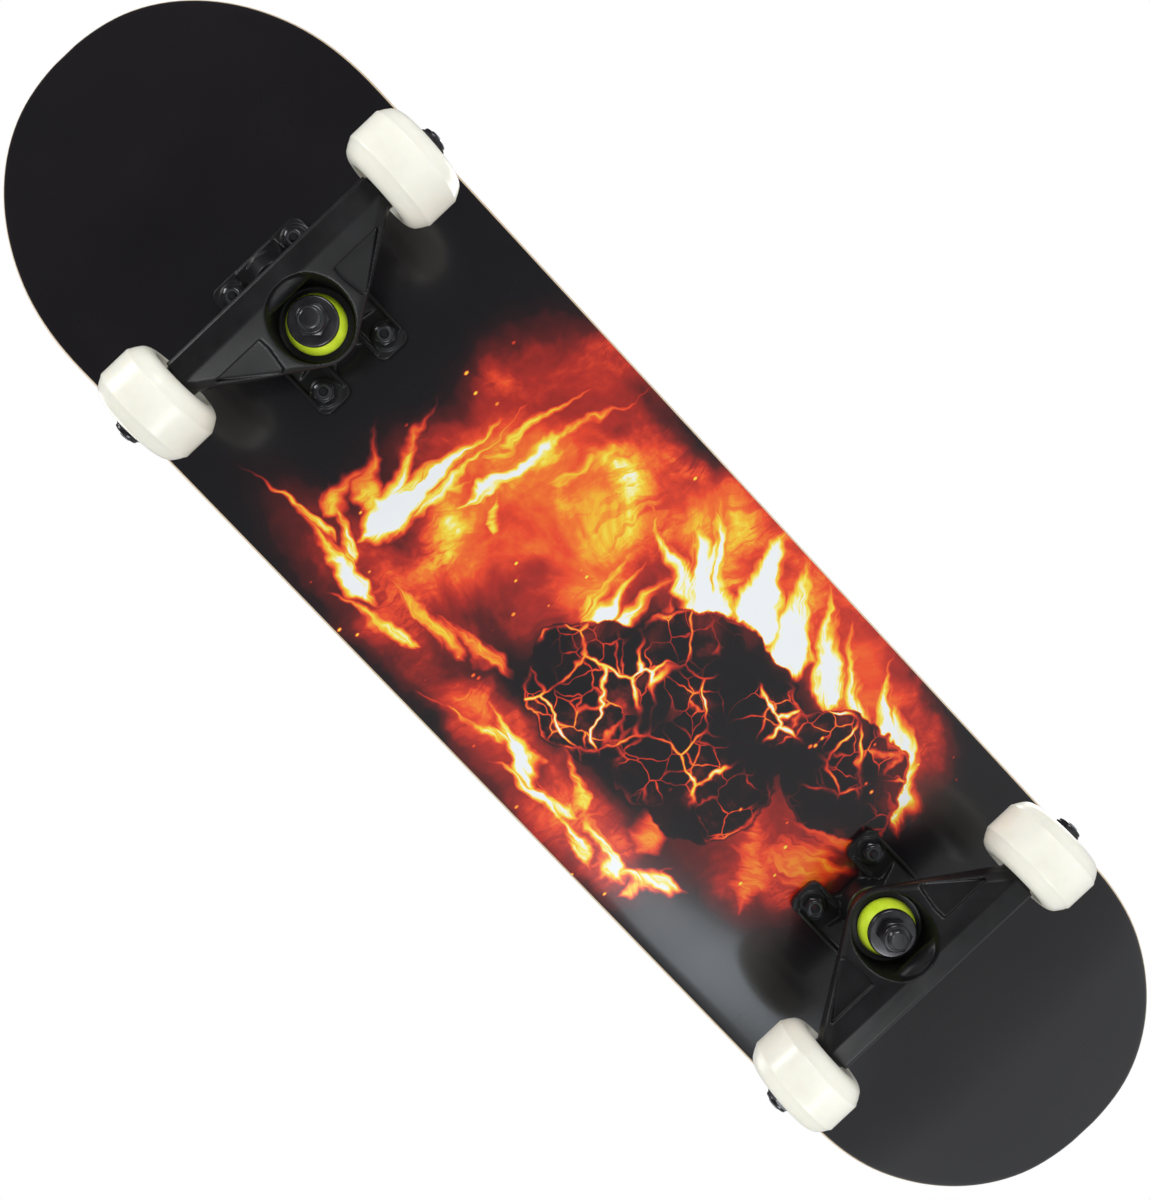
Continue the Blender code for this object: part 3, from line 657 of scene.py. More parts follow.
def prism(outline, bottom, top):
    bm = bmesh.new()
    rows = [[bm.verts.new((x, y, z)) for x, y in outline] for z in (bottom, top)]
    for i in range(len(outline)):
        j = (i + 1) % len(outline)
        bm.faces.new((rows[0][i], rows[0][j], rows[1][j], rows[1][i]))
    bm.faces.new(rows[0])
    bm.faces.new(rows[1])
    return bm


def hull(points):
    bm = bmesh.new()
    verts = [bm.verts.new(point) for point in points]
    result = bmesh.ops.convex_hull(bm, input=verts)
    loose = [v for v in result["geom_interior"] + result["geom_unused"] if isinstance(v, bmesh.types.BMVert)]
    bmesh.ops.delete(bm, geom=list(dict.fromkeys(loose)), context="VERTS")
    return bm


def circle(radius, segments=48, centre=(0.0, 0.0)):
    return [(centre[0] + radius * cos(a), centre[1] + radius * sin(a)) for a in all_round(segments)]


def mirrored(half):
    """A profile and its mirror image over height 0, in one loop."""
    return half + [(radius, -height) for radius, height in reversed(half)]


def arc(centre, radius, start, end, steps):
    """Points of an arc in a profile, angles in degrees."""
    sweep = [radians(start + (end - start) * i / steps) for i in range(steps + 1)]
    return [(centre[0] + radius * cos(a), centre[1] + radius * sin(a)) for a in sweep]


def thread(radius, bottom, top, pitch, depth):
    """The profile of a threaded stretch, from bottom to top."""
    turns = max(int(abs(top - bottom) / pitch), 1)
    step = (top - bottom) / turns
    points = []
    for i in range(turns):
        points += [(radius, bottom + step * (i + 0.1)), (radius - depth, bottom + step * (i + 0.6))]
    return points


def moved(bm, offset):
    bmesh.ops.translate(bm, vec=offset, verts=bm.verts)
    return bm


def on_steering_axis(bm):
    """Moves a solid turned about Z onto the steering axis, with height 0 at the ring's middle."""
    tilt = Matrix.Rotation(pi / 2 - TILT, 4, "Y")
    bmesh.ops.transform(bm, matrix=Matrix.Translation((PIN_U, 0.0, RING_W)) @ tilt, verts=bm.verts)
    return bm


def steering_ring(radius, distance, segments=40):
    """Points of a circle round the steering axis."""
    along = Vector((cos(TILT), 0.0, sin(TILT)))
    up = Vector((-sin(TILT), 0.0, cos(TILT)))
    centre = Vector((PIN_U, 0.0, RING_W)) + along * distance
    side = Vector((0.0, 1.0, 0.0))
    return [tuple(centre + up * radius * cos(a) + side * radius * sin(a)) for a in all_round(segments)]


def piece(name, mesh, body, replaces=(), at=(0.0, 0.0, 0.0), turn=0.0, flip=0.0):
    """A piece of the object: placed in millimetres, turned about Z or X, riding on a body."""
    made = new_object(name, mesh)
    made.location = Vector(at) * MM
    made.rotation_euler = (flip, 0.0, turn)
    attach(made, body)
    if replaces:
        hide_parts(*replaces)
    return made


# ------------------------------------------------------------------ deck and grip

def half_width(x, inset):
    """Half-width of the outline, drawn in by inset all round."""
    into_end = abs(x) - (DECK_HALF_LENGTH - NOSE_LENGTH)
    full = DECK_HALF_WIDTH - inset
    if into_end <= 0.0:
        return full
    share = min(into_end / (NOSE_LENGTH - inset), 1.0)
    return full * (1.0 - share ** NOSE_POWER) ** (1.0 / NOSE_POWER)


def kick(x):
    """Height and slope of the deck's middle line."""
    run = abs(x) - KICK_START
    if run <= 0.0:
        return 0.0, 0.0
    bend = KICK_RADIUS * sin(KICK_ANGLE)
    if run < bend:
        angle = atan2(run, sqrt(KICK_RADIUS ** 2 - run ** 2))
        return KICK_RADIUS * (1.0 - cos(angle)), angle
    rise = KICK_RADIUS * (1.0 - cos(KICK_ANGLE)) + (run - bend) * tan(KICK_ANGLE)
    return rise, KICK_ANGLE


def surface(x, y, height):
    """A point over the deck's lower face."""
    rise, slope = kick(x)
    over = max(abs(y) - CONCAVE_FLAT, 0.0) / (DECK_HALF_WIDTH - CONCAVE_FLAT)
    return (x, y, UNDERSIDE + rise + CONCAVE_RISE * over ** CONCAVE_POWER + height / cos(slope))


def sheet(bottom, top, edge, inset, painted, along=34, middle_steps=24, across=36):
    """A sheet that follows the deck, with rounded edges.

    Its skins come from one grid and its rim from the grid's border, pushed outwards. Faces get slot 0
    below and on the rim's first painted rows, 1 on the rest of the rim and 2 on top.
    """
    grid_inset = inset + edge
    tip = DECK_HALF_LENGTH - grid_inset
    end_share = 0.9985
    last = DECK_HALF_LENGTH - NOSE_LENGTH + (NOSE_LENGTH - grid_inset) * end_share
    start = DECK_HALF_LENGTH - NOSE_LENGTH
    ends = [start + (last - start) * sin(pi / 2 * i / along) for i in range(along + 1)]
    xs = [-x for x in reversed(ends)]
    xs += [start * (2 * i / middle_steps - 1) for i in range(1, middle_steps)]
    xs += ends
    bm = bmesh.new()
    ply = bm.verts.layers.float.new("ply_height")

    def vertex(x, y, height):
        made = bm.verts.new(surface(x, y, height))
        made[ply] = (height - bottom) / (top - bottom)
        return made

    plan = [[(x, half_width(x, grid_inset) * (2 * j / across - 1)) for j in range(across + 1)] for x in xs]
    skins = []
    for height, slot in ((bottom, 0), (top, 2)):
        grid = [[vertex(x, y, height) for x, y in row] for row in plan]
        for row, ahead in zip(grid, grid[1:]):
            for j in range(across):
                bm.faces.new((row[j], row[j + 1], ahead[j + 1], ahead[j])).material_index = slot
        skins.append(grid)

    count = len(xs)
    border = [(i, across) for i in range(count)]
    border += [(count - 1, j) for j in range(across - 1, -1, -1)]
    border += [(i, 0) for i in range(count - 2, -1, -1)]
    border += [(0, j) for j in range(1, across)]
    corners = [Vector(plan[i][j]) for i, j in border]
    normals = []
    for k in range(len(corners)):
        run = corners[(k + 1) % len(corners)] - corners[k - 1]
        normals.append(Vector((run.y, -run.x)).normalized() * -1.0)
    steps = 5
    turns = [pi / 2 * k / steps for k in range(1, steps + 1)]
    rim = [(edge * sin(a), bottom + edge * (1 - cos(a))) for a in turns]
    rim += [(out, top - (height - bottom)) for out, height in reversed(rim)]
    rows = [[skins[0][i][j] for i, j in border]]
    for out, height in rim:
        rows.append([vertex(*(corner + normal * out), height) for corner, normal in zip(corners, normals)])
    rows.append([skins[1][i][j] for i, j in border])
    for index, (first, second) in enumerate(zip(rows, rows[1:])):
        slot = 0 if index < painted else 1
        for k in range(len(corners)):
            j = (k + 1) % len(corners)
            bm.faces.new((first[k], first[j], second[j], second[k])).material_index = slot
    return bm


def bolt_places():
    """(truck, label, x, y) of each mounting bolt."""
    for truck, side in (("front", 1.0), ("rear", -1.0)):
        for row, u in (("inner", BOLT_INNER), ("outer", BOLT_OUTER)):
            for hand, v in (("left", 1.0), ("right", -1.0)):
                yield truck, row + "_" + hand, side * (AXLE_X + u), v * BOLT_V


def drilled(mesh, radius, bottom, top):
    """Cuts a hole for each mounting bolt."""
    drills = []
    for _, _, x, y in bolt_places():
        drills.append(("DIFFERENCE", to_mesh(prism(circle(radius, 28, (x, y)), bottom, top), "drill", ())))
    result = combined(mesh, drills)
    result.set_sharp_from_angle(angle=radians(40.0))
    return result


def build_deck():
    thickness = DECK_TOP - UNDERSIDE
    deck = to_mesh(sheet(0.0, thickness, EDGE_ROUND, 0.0, 2), "deck_look", (PRINT, PLY, PLY), 60.0)
    deck = drilled(deck, BOLT_HOLE, UNDERSIDE - 3.0, DECK_TOP + 3.0)
    piece("deck_board", deck, "board", ("deck",))
    grip = to_mesh(sheet(thickness + 0.04, GRIP_TOP - UNDERSIDE, 0.3, 0.5, 0), "grip_look", (GRIT,), 60.0)
    grip = drilled(grip, 4.95, GRIP_TOP - 3.0, GRIP_TOP + 3.0)
    piece("grip_sheet", grip, "board", ("grip_tape",))


# ------------------------------------------------------------------ mounting hardware

def hexagon(across_flats, turn=0.0):
    corner = across_flats / sqrt(3.0)
    return [(corner * cos(pi / 3 * i + turn), corner * sin(pi / 3 * i + turn)) for i in range(6)]


def bolt_look():
    """Countersunk screw, its head's top at height 0, with a hexagonal socket and a threaded end."""
    length = GRIP_TOP - low("front_bolt_inner_left", Z)
    head = 4.7
    shank = 2.35
    profile = [(0.0, 0.0), (head - 0.25, 0.0), (head, -0.25), (head - 0.1, -0.6), (shank, -2.9)]
    profile += [(shank, -length + 11.0)] + thread(shank, -length + 11.0, -length + 0.6, 0.8, 0.32)
    profile += [(shank - 0.6, -length), (0.0, -length)]
    screw = to_mesh(turned(profile, 32), "mounting_bolt_look", (BLACK_STEEL,))
    socket = to_mesh(prism(hexagon(3.2), -1.9, 1.0), "socket", ())
    return combined(screw, [("DIFFERENCE", socket)])


def nut_look(name, across_flats, height, bore, insert):
    """Lock nut from height 0: chamfered hexagon, then a rolled collar that holds a nylon ring."""
    body = height - insert
    corner = across_flats / sqrt(3.0)
    blank = to_mesh(prism(hexagon(across_flats), 0.0, body), name, (BLACK_STEEL, NYLON))
    flat = across_flats / 2 * 0.98
    drop = (corner - flat) * 0.6
    shape = [(0.0, 0.0), (flat, 0.0), (corner + 0.05, drop), (corner + 0.05, body - drop), (flat, body)]
    shape += [(0.0, body)]
    chamfer = to_mesh(turned(shape, 48), "chamfer", (BLACK_STEEL, NYLON))
    collar_r = across_flats / 2 - 0.35
    collar = [(bore + 0.3, 1.0), (collar_r, 1.0), (collar_r, height - 0.9)]
    collar += arc((collar_r - 0.9, height - 0.9), 0.9, 0, 90, 4)[1:]
    collar += [(bore + 1.15, height), (bore + 1.15, height - 0.5), (bore, height - 0.5), (bore, height - 1.3)]
    insert_zone = (len(collar) - 3, len(collar) - 1, 1)
    ring = to_mesh(turned(collar, 48, zones=(insert_zone,)), "collar", (BLACK_STEEL, NYLON))
    hole = to_mesh(prism(circle(bore, 32), -1.0, body + 1.0), "bore", ())
    nut = combined(blank, [("INTERSECT", chamfer), ("DIFFERENCE", hole), ("UNION", ring)])
    nut.shade_smooth()
    nut.set_sharp_from_angle(angle=radians(28.0))
    return nut


def build_mounting_hardware():
    bolt = bolt_look()
    nut_low = low("front_nut_inner_left", Z)
    nut_height = high("front_nut_inner_left", Z) - nut_low
    nut = nut_look("mounting_nut_look", 9.5, nut_height, 2.4, 1.5)
    for truck, label, x, y in bolt_places():
        replaced_bolt = (f"{truck}_bolt_{label}",)
        replaced_nut = (f"{truck}_nut_{label}",)
        seat = (x, y, nut_low + nut_height)
        piece(f"{truck}_{label}_screw", bolt, "board", replaced_bolt, (x, y, GRIP_TOP))
        piece(f"{truck}_{label}_locknut", nut, "board", replaced_nut, seat, 0.3 * x, pi)


# ------------------------------------------------------------------ castings

def rounded_outline(corners, radius, steps=8):
    """A polygon whose corners are rounded with arcs."""
    points = []
    for i, corner in enumerate(corners):
        here = Vector(corner)
        back = (Vector(corners[i - 1]) - here).normalized()
        ahead = (Vector(corners[(i + 1) % len(corners)]) - here).normalized()
        half = back.angle(ahead) / 2
        centre = here + (back + ahead).normalized() * (radius / sin(half))
        start = here + back * (radius / tan(half)) - centre
        end = here + ahead * (radius / tan(half)) - centre
        sweep = atan2(start.x * end.y - start.y * end.x, start.dot(end))
        first = atan2(start.y, start.x)
        for step in range(steps + 1):
            angle = first + sweep * step / steps
            points.append((centre.x + radius * cos(angle), centre.y + radius * sin(angle)))
    return points


def tool(bm):
    return to_mesh(bm, "tool", ())


def union(bm):
    return "UNION", tool(bm)


def cut(bm):
    return "DIFFERENCE", tool(bm)


def baseplate_look():
    """Baseplate: slab with two ribbed arms, kingpin boss, gussets and pivot housing."""
    arm = -50.0
    outer = 32.0
    side = 29.5
    notch = 10.0
    notch_end = -34.5
    outline = [(outer, -side), (outer, side), (arm, side), (arm, notch)]
    outline += [(notch_end, notch), (notch_end, -notch), (arm, -notch), (arm, -side)]
    slab = tool(prism(rounded_outline(outline, 4.8), BASE_LOW + 1.2, BASE_TOP + 3.0))
    steps = []
    rib_low = BASE_LOW - 0.6
    for v in (notch + 1.2, side - 1.2):
        for sign in (-1.0, 1.0):
            near, far = sorted((sign * (v - 1.1), sign * (v + 1.0)))
            start = arm + 5.5
            end = -14.0 if v > notch + 2.0 else notch_end + 4.0
            rib = [(start, near), (end, near), (end, far), (start, far)]
            steps.append(union(prism(rib, rib_low, BASE_TOP)))
    bolts = [(u, v) for u in (BOLT_INNER, BOLT_OUTER) for v in (-BOLT_V, BOLT_V)]
    for place in bolts:
        steps.append(union(prism(circle(7.2, 40, place), BASE_LOW, BASE_TOP)))
    web = [(PIN_U, -15.0), (PIN_U, 15.0), (26.0, 13.0), (26.0, -13.0)]
    steps.append(union(prism(web, BASE_LOW - 1.0, BASE_TOP)))
    boss = [(0.0, BOSS_LOW), (12.6, BOSS_LOW), (14.4, BASE_LOW + 1.5), (0.0, BASE_LOW + 1.5)]
    steps.append(union(moved(turned(boss, 56), (PIN_U, 0.0, 0.0))))
    foot = [(u, v, BASE_LOW + 1.5) for u in (-2.0, 30.5) for v in (-12.8, 12.8)]
    steps.append(union(hull(steering_ring(11.6, 38.5) + steering_ring(9.0, 49.0) + foot)))
    for sign in (-1.0, 1.0):
        gusset = []
        for half, v, w in ((4, 11, BOSS_LOW + 3), (7, 27, BASE_LOW + 1.5), (4, 6, BASE_LOW + 2)):
            gusset += [(PIN_U - half, sign * v, w), (PIN_U + half, sign * v, w)]
        steps.append(union(hull(gusset)))
    neck = turned([(0.0, 26.0), (12.5, 26.0), (12.5, 37.0), (0.0, 37.0)])
    bore = turned([(0.0, 30.0), (8.7, 30.0), (8.7, 51.3), (0.0, 51.3)])
    above = prism([(-60.0, -40.0), (60.0, -40.0), (60.0, 40.0), (-60.0, 40.0)], BASE_TOP, BASE_TOP + 20.0)
    steps += [cut(on_steering_axis(neck)), cut(on_steering_axis(bore))]
    steps.append(cut(above))
    steps.append(cut(prism(circle(5.0, 40, (PIN_U, 0.0)), BOSS_LOW - 5.0, BASE_TOP + 5.0)))
    for place in bolts:
        steps.append(cut(prism(circle(BOLT_HOLE, 24, place), BASE_LOW - 4.0, BASE_TOP + 3.0)))
    return cast(combined(slab, steps))


def hanger_look():
    """Hanger: axle bar with a crisp outer edge, pocketed webs, deep bushing recess and pivot nose."""
    bar_tip = 61.5
    section = [(8.6, -7.4), (6.6, -9.0), (-3.4, -9.0), (-7.4, -5.0)]
    section += [(-7.4, 5.0), (-4.0, 8.4), (4.0, 8.4), (8.6, 4.0)]
    bar = [(u, v, w) for v in (-bar_tip, bar_tip) for u, w in section]
    wall_low = RING_W - 6.0
    wall_high = RING_W + 5.6
    wall = [(PIN_U + u, v, wall_low) for u, v in circle(20.4, 72)]
    wall += [(PIN_U + u, v, wall_high) for u, v in circle(17.6, 72)]
    body = tool(hull(bar + wall))
    steps = []
    ends = [(0.0, -HANGER_HALF), (7.6, -HANGER_HALF), (8.0, 0.4 - HANGER_HALF), (8.6, -bar_tip - 1.5)]
    ends += [(r, -v) for r, v in reversed(ends)]
    steps.append(union(turned(ends, 56, "Y")))
    bridge = [(u, v, 7.0) for u in (-5.0, 6.0) for v in (-23.0, 23.0)]
    steps.append(union(hull(steering_ring(9.7, 25.5) + bridge)))
    nose = [(0.0, 22.0), (8.0, 22.0), (9.2, 24.5), (8.6, 32.0), (6.9, 36.5), (6.7, 43.5)]
    nose += [(5.4, 46.8), (2.6, 48.4), (0.0, 48.4)]
    steps.append(union(on_steering_axis(turned(nose, 48))))
    seat_low_w = RING_W - SEAT_HALF
    seat_high_w = RING_W + SEAT_HALF
    recess = [(0.0, -20.0), (21.2, -20.0), (19.2, wall_low - 6.0), (18.0, seat_low_w), (0.0, seat_low_w)]
    seat = [(0.0, seat_high_w), (13.6, seat_high_w), (14.2, 60.0), (0.0, 60.0)]
    pin = [(0.0, -30.0), (7.6, -30.0), (7.6, 60.0), (0.0, 60.0)]
    for profile in (recess, seat, pin):
        steps.append(cut(moved(turned(profile, 72), (PIN_U, 0.0, 0.0))))
    slope = atan2(wall_low + 5.0, 34.0)          # of the webs, from the bar up to the recess's wall
    normal = Vector((-sin(slope), 0.0, -cos(slope)))
    for sign in (-1.0, 1.0):
        corners = [(-11.0, 52.0), (-11.0, 23.5), (-16.5, 23.0), (-27.5, 25.0), (-28.0, 27.5)]
        flat = [Vector((u, sign * v, -5.0 + (-7.4 - u) * tan(slope))) for u, v in corners]
        pocket = [tuple(p + normal * reach) for p in flat for reach in (9.0, -1.3)]
        steps.append(cut(hull(pocket)))
    tunnel = [(0.0, -24.0), (6.2, -24.0), (6.2, 24.0), (0.0, 24.0)]
    steps.append(union(turned(tunnel, 40, "Y")))
    bore = [(0.0, -90.0), (4.2, -90.0), (4.2, 90.0), (0.0, 90.0)]
    steps.append(cut(turned(bore, 32, "Y")))
    return cast(combined(body, steps))


def bushing_look(bottom, top, low_r, mid_r, high_r):
    """Bushing with a soft barrel, rounded rims and a bore."""
    span = top - bottom
    profile = [(PIN_RADIUS + 0.3, bottom), (low_r - 1.0, bottom)]
    profile += arc((low_r - 1.0, bottom + 1.0), 1.0, -90, 0, 5)[1:]
    for i in range(1, 8):
        share = i / 8
        radius = low_r * (1 - share) ** 2 + 2 * mid_r * share * (1 - share) + high_r * share ** 2
        profile.append((radius, bottom + 1.0 + (span - 2.0) * share))
    profile += arc((high_r - 1.0, top - 1.0), 1.0, 0, 90, 5)
    profile += [(PIN_RADIUS + 0.3, top)]
    return to_mesh(turned(profile, 64), "bushing_look", (LIME,), 50.0)


def washer_look(bottom, top, radius, lip):
    """Cup washer with a rolled rim; the lip points up for lip > 0."""
    bore = PIN_RADIUS + 0.2
    wall = 1.3
    profile = [(bore, 0.0), (radius - 1.2, 0.0)] + arc((radius - 1.2, 1.2), 1.2, -90, 0, 5)[1:]
    rim = top - bottom
    profile += [(radius, rim - 0.3), (radius - 0.3, rim)]
    profile += [(radius - wall + 0.3, rim), (radius - wall, rim - 0.4)]
    profile += [(radius - wall, wall + 0.7), (radius - wall - 0.8, wall), (bore, wall)]
    if lip < 0.0:
        profile = [(r, rim - h) for r, h in profile]
    return to_mesh(moved(turned(profile, 64), (0.0, 0.0, bottom)), "cup_washer_look", (BLACK_STEEL,))


def kingpin_look():
    bottom = low("front_kingpin", Z) - AXLE_Z
    profile = [(0.0, bottom), (PIN_RADIUS - 0.9, bottom), (PIN_RADIUS - 0.3, bottom + 0.7)]
    profile += thread(PIN_RADIUS, bottom + 0.7, bottom + 19.0, 1.05, 0.5)
    profile += [(PIN_RADIUS, bottom + 19.5), (PIN_RADIUS, BASE_TOP - 5.0), (0.0, BASE_TOP - 5.0)]
    shank = tool(turned(profile, 40))
    head = tool(prism(hexagon(14.0), BASE_TOP - 5.7, BASE_TOP - 0.4))
    return coated(combined(shank, [("UNION", head)]), BLACK_STEEL)


def pivot_cup_look():
    profile = [(8.2, 37.2), (8.5, 37.5), (8.5, 51.0), (0.6, 51.0), (0.6, 49.2)]
    profile += [(7.3, 49.2), (7.3, 37.5), (7.6, 37.2)]
    return to_mesh(on_steering_axis(turned(profile, 48)), "pivot_cup_look", (RUBBER,))


# ------------------------------------------------------------------ axle, wheels and bearings

def axle_look():
    end = high("front_axle", Y)
    half = [(0.0, end), (AXLE_RADIUS - 0.9, end), (AXLE_RADIUS - 0.2, end - 0.8)]
    half += thread(AXLE_RADIUS, end - 0.8, end - 11.0, 0.9, 0.42) + [(AXLE_RADIUS, end - 11.4)]
    profile = [(r, -v) for r, v in half] + [(r, v) for r, v in reversed(half)]
    return to_mesh(turned(profile, 40, "Y"), "axle_look", (STEEL,))


def wheel_look():
    """Wheel: flat tread, crisp shoulder, tapering convex side, dished hub and bearing seats."""
    w = WHEEL_HALF
    r = WHEEL_RADIUS
    side = [(9.2, 4.7), (11.05, 4.7), (11.05, 12.2), (11.6, 12.6)]
    side += [(13.6, 12.9)] + arc((13.6, 14.3), 1.4, -90, -18, 4)[1:]
    side += arc((16.6, w - 0.9), 0.9, 160, 90, 3)
    side += [(r - 8.8, w)] + arc((r - 8.8, w - 7.6), 7.6, 86, 44, 8)
    side += [(r - 1.6, w - 5.0)] + arc((r - 1.6, w - 8.4), 1.6, 50, 0, 4)
    side += [(r, w - 9.0), (r, w - 12.0), (r, 2.0)]
    return to_mesh(turned(mirrored(side), 96, "Y"), "wheel_look", (CREAM,), 40.0)


def bearing_look():
    """Bearing: outer race, sealed shield and inner race, on both faces."""
    half = 3.5
    bore = AXLE_RADIUS + 0.1
    face = [(bore, half - 0.3), (bore + 0.3, half), (6.1, half), (6.3, half - 0.35)]
    face += [(6.5, half - 0.55), (9.1, half - 0.3), (9.3, half - 0.5), (9.5, half)]
    face += [(10.7, half), (11.0, half - 0.3)]
    count = len(face)
    zones = ((3, 6, 1), (2 * count - 7, 2 * count - 4, 1))
    return to_mesh(turned(mirrored(face), 56, "Y", zones), "bearing_look", (STEEL, RUBBER))


def speed_washer_look():
    profile = [(4.2, -0.45), (5.85, -0.45), (6.0, -0.3), (6.0, 0.3), (5.85, 0.45), (4.2, 0.45)]
    return to_mesh(turned(profile, 40, "Y"), "speed_washer_look", (STEEL,))


def build_trucks():
    def spans(node):
        return low("front_" + node, Z) - AXLE_Z, high("front_" + node, Z) - AXLE_Z

    deck_bushing = spans("bushing_deck_side")
    road_bushing = spans("bushing_road_side")
    deck_washer = spans("washer_deck_side")
    road_washer = spans("washer_road_side")
    pin_nut = spans("kingpin_nut")
    nut_height = pin_nut[1] - pin_nut[0]
    fixed = {
        "baseplate": (baseplate_look(), "black_casting", False),
        "pivot_cup": (pivot_cup_look(), "black_urethane", False),
        "kingpin": (kingpin_look(), "black_steel", True),
        "washer_deck_side": (washer_look(*deck_washer, 14.0, -1.0), "black_steel", True),
        "washer_road_side": (washer_look(*road_washer, 12.0, 1.0), "black_steel", True),
    }
    soft = {
        "bushing_deck_side": (bushing_look(*deck_bushing, 12.2, 14.2, 12.0), deck_bushing[::-1]),
        "bushing_road_side": (bushing_look(*road_bushing, 10.8, 13.8, 14.6), road_bushing),
    }
    kingpin_nut = nut_look("kingpin_nut_look", 14.3, nut_height, 4.85, 1.8)
    steered = {"hanger": (hanger_look(), "black_casting"), "axle": (axle_look(), "bright_steel")}
    bearing = bearing_look()
    wheel = wheel_look()
    washer = speed_washer_look()
    nut_start = low("front_left_axle_nut", Y)
    axle_nut = nut_look("axle_nut_look", 12.7, high("front_left_axle_nut", Y) - nut_start, 4.1, 1.6)
    for truck, side, turn in (("front", 1.0, 0.0), ("rear", -1.0, pi)):
        origin = (side * AXLE_X, 0.0, AXLE_Z)
        pin = (side * (AXLE_X + PIN_U), 0.0, AXLE_Z)
        hanger_body = truck + "_hanger_assembly"
        for name, (mesh, slot, on_pin) in fixed.items():
            place = pin if on_pin else origin
            piece(f"{truck}_{name}_look", mesh, "board", (f"{truck}_{name}",), place, turn)
        nut_top = (pin[0], 0.0, AXLE_Z + pin_nut[1])
        replaced_nut = (f"{truck}_kingpin_nut",)
        piece(f"{truck}_kingpin_locknut", kingpin_nut, "board", replaced_nut, nut_top, 0.2, pi)
        for name, (mesh, (held, carried)) in soft.items():
            made = new_object(f"{truck}_{name}_look", mesh.copy())
            made.location = Vector(pin) * MM
            ends = [Vector((pin[0], 0.0, AXLE_Z + w)) * MM for w in (held, carried)]
            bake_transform(made)
            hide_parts(f"{truck}_{name}")
        for name, (mesh, slot) in steered.items():
            piece(f"{truck}_{name}_look", mesh, hanger_body, (f"{truck}_{name}",), origin, turn)
        for hand, v in (("left", 1.0), ("right", -1.0)):
            corner = f"{truck}_{hand}"
            wheel_body = corner + "_wheel_assembly"

            def at(reach):
                return (origin[0], v * reach, AXLE_Z)

            piece(corner + "_tyre", wheel, wheel_body, (corner + "_wheel",), at(WHEEL_V))
            for place in ("inboard", "outboard"):
                node = f"{corner}_bearing_{place}"
                reach = abs(middle(node, Y))
                piece(node + "_look", bearing, wheel_body, (node,), at(reach))
            inner = corner + "_speed_washer"
            reach = abs(middle(inner, Y))
            piece(corner + "_inner_washer", washer, hanger_body, (inner,), at(reach))
            piece(corner + "_outer_washer", washer, hanger_body, (), at(nut_start - 0.6))
            replaced_nut = (corner + "_axle_nut",)
            outward = -v * pi / 2
            piece(corner + "_axle_locknut", axle_nut, hanger_body, replaced_nut,
                  at(nut_start), flip=outward)


# ------------------------------------------------------------------ stage, light and camera

LENS = 39.16                             # millimetres, on a 36 mm sensor
CAMERA_PLACE = (0.0744, 0.0083, -0.5854)
VIEW_BACK = (0.0824, 0.0143, -0.9965)    # from the board towards the camera
VIEW_HEADING = 43.3                      # degrees that the picture is turned about the view


def area_light(name, place, target, size, power, colour=(1.0, 1.0, 1.0)):
    data = bpy.data.lights.new(name, "AREA")
    data.shape = "RECTANGLE"
    data.size, data.size_y = size
    data.energy = power
    data.color = colour
    light = new_object(name, data)
    light.location = place
    light.rotation_euler = (Vector(target) - Vector(place)).to_track_quat("-Z", "Y").to_euler()
    light.visible_camera = False
    return light


def build_stage():
    """Pale floor, clear from below because the main camera looks up from under it, and far away."""
    bm = bmesh.new()
    bmesh.ops.create_grid(bm, x_segments=1, y_segments=1, size=8.0)
    mesh = bpy.data.meshes.new("floor")
    bm.to_mesh(mesh)
    bm.free()
    floor = new_object("floor", mesh)
    look = Look("pale_floor", (0.86, 0.86, 0.85), 0.6)
    shades = [(0.3, (0.84, 0.84, 0.83)), (0.7, (0.88, 0.88, 0.87))]
    look.feed("Base Color", look.ramp(look.noise(3.0, 3.0), shades))
    clear = look.node("ShaderNodeBsdfTransparent")
    mix = look.node("ShaderNodeMixShader")
    x, y, _ = look.axes()
    far = (x * x + y * y).math("SQRT").step(900.0, 3200.0)
    below = Field(look, look.node("ShaderNodeNewGeometry").outputs["Backfacing"])
    look.link(far.most(below).socket, mix.inputs[0])
    look.link(look.shader.outputs[0], mix.inputs[1])
    look.link(clear.outputs[0], mix.inputs[2])
    look.link(mix.outputs[0], look.tree.nodes["Material Output"].inputs["Surface"])
    mesh.materials.append(look.material)
    floor.location.z = -0.0002
    for kind in ("diffuse", "glossy", "transmission", "shadow"):
        setattr(floor, "visible_" + kind, False)


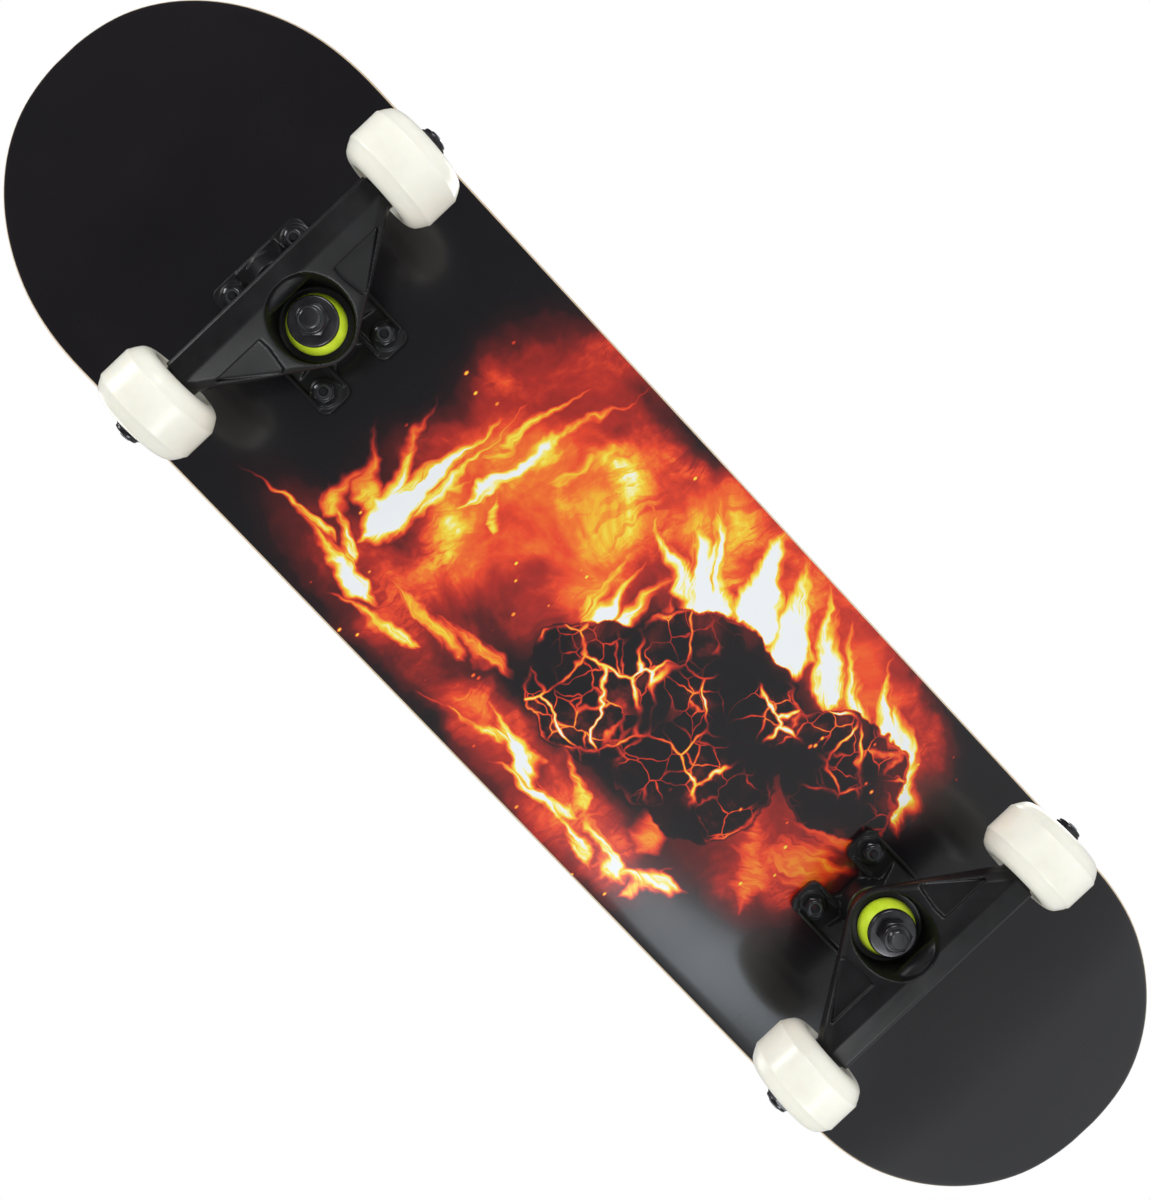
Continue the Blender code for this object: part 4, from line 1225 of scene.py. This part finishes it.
def build_world():
    """White behind everything; even light on matt surfaces, and dim reflections, dimmer at the nose."""
    world = bpy.data.worlds.new("studio")
    bpy.context.scene.world = world
    world.use_nodes = True
    tree = world.node_tree
    tree.nodes.clear()

    def background(strength):
        made = tree.nodes.new("ShaderNodeBackground")
        made.inputs["Strength"].default_value = strength
        return made

    ramp = tree.nodes.new("ShaderNodeValToRGB")
    ramp.color_ramp.elements[0].position = 0.36
    ramp.color_ramp.elements[0].color = (0.4, 0.41, 0.42, 1.0)
    ramp.color_ramp.elements[1].position = 0.62
    ramp.color_ramp.elements[1].color = (0.09, 0.085, 0.1, 1.0)
    split = tree.nodes.new("ShaderNodeSeparateXYZ")
    share = tree.nodes.new("ShaderNodeMath")
    share.operation = "MULTIPLY_ADD"
    share.inputs[1].default_value = 0.5
    share.inputs[2].default_value = 0.5
    even = background(0.9)
    dim = background(1.0)
    white = background(1.0)
    path = tree.nodes.new("ShaderNodeLightPath")
    glossy = tree.nodes.new("ShaderNodeMixShader")
    seen = tree.nodes.new("ShaderNodeMixShader")
    output = tree.nodes.new("ShaderNodeOutputWorld")
    coordinates = tree.nodes.new("ShaderNodeTexCoord")
    for background_node in (even, white):
        background_node.inputs["Color"].default_value = (1.0, 1.0, 1.0, 1.0)
    for start, end in (
        (coordinates.outputs["Generated"], split.inputs[0]),
        (split.outputs["X"], share.inputs[0]),
        (share.outputs[0], ramp.inputs[0]),
        (ramp.outputs[0], dim.inputs["Color"]),
        (path.outputs["Is Glossy Ray"], glossy.inputs[0]),
        (even.outputs[0], glossy.inputs[1]),
        (dim.outputs[0], glossy.inputs[2]),
        (path.outputs["Is Camera Ray"], seen.inputs[0]),
        (glossy.outputs[0], seen.inputs[1]),
        (white.outputs[0], seen.inputs[2]),
        (seen.outputs[0], output.inputs["Surface"]),
    ):
        tree.links.new(start, end)


def build_lights():
    """Key and fill above, and three softer lights below that model the trucks but leave the deck alone."""
    area_light("above_left", (-0.4, 1.3, 1.5), (0, 0, 0.08), (1.2, 1.2), 13.0)
    area_light("above_right", (0.9, -1.3, 1.2), (0, 0, 0.08), (1.0, 1.0), 8.0)
    truck_lights = [
        area_light("below_nose", (0.75, 0.9, -1.1), (0.1, 0, 0.06), (0.6, 0.6), 7.0),
        area_light("below_tail", (-0.9, -0.5, -1.0), (-0.1, 0, 0.06), (0.5, 0.5), 5.0),
        area_light("beyond_nose", (1.5, -0.3, -0.3), (0.2, 0, 0.04), (0.4, 0.4), 5.0),
    ]
    spared = bpy.data.collections.new("spared")
    spared.objects.link(bpy.data.objects["deck_board"])
    spared.collection_objects[0].light_linking.link_state = "EXCLUDE"
    for light in truck_lights:
        light.light_linking.receiver_collection = spared
    area_light("sheen", (-0.52, -0.55, -0.85), (-0.16, -0.08, 0.08), (0.3, 0.22), 0.8, (0.85, 0.93, 1.0))


def build_camera():
    """Below the board, looking up at its print, with the nose towards the picture's upper left."""
    data = bpy.data.cameras.new("camera")
    data.sensor_width = 36.0
    data.lens = LENS
    data.clip_start = 0.02
    data.clip_end = 30.0
    camera = new_object("camera", data)
    back = Vector(VIEW_BACK).normalized()
    heading = radians(VIEW_HEADING)
    right = Vector((cos(heading), sin(heading), 0.0)).cross(back).normalized()
    up = back.cross(right)
    turn = Matrix((right, up, back)).transposed().to_4x4()
    camera.matrix_world = Matrix.Translation(CAMERA_PLACE) @ turn
    bpy.context.scene.camera = camera


build_camera()
build_stage()
build_world()
build_deck()
build_mounting_hardware()
build_trucks()
build_lights()
bpy.context.scene.view_settings.view_transform = "Standard"
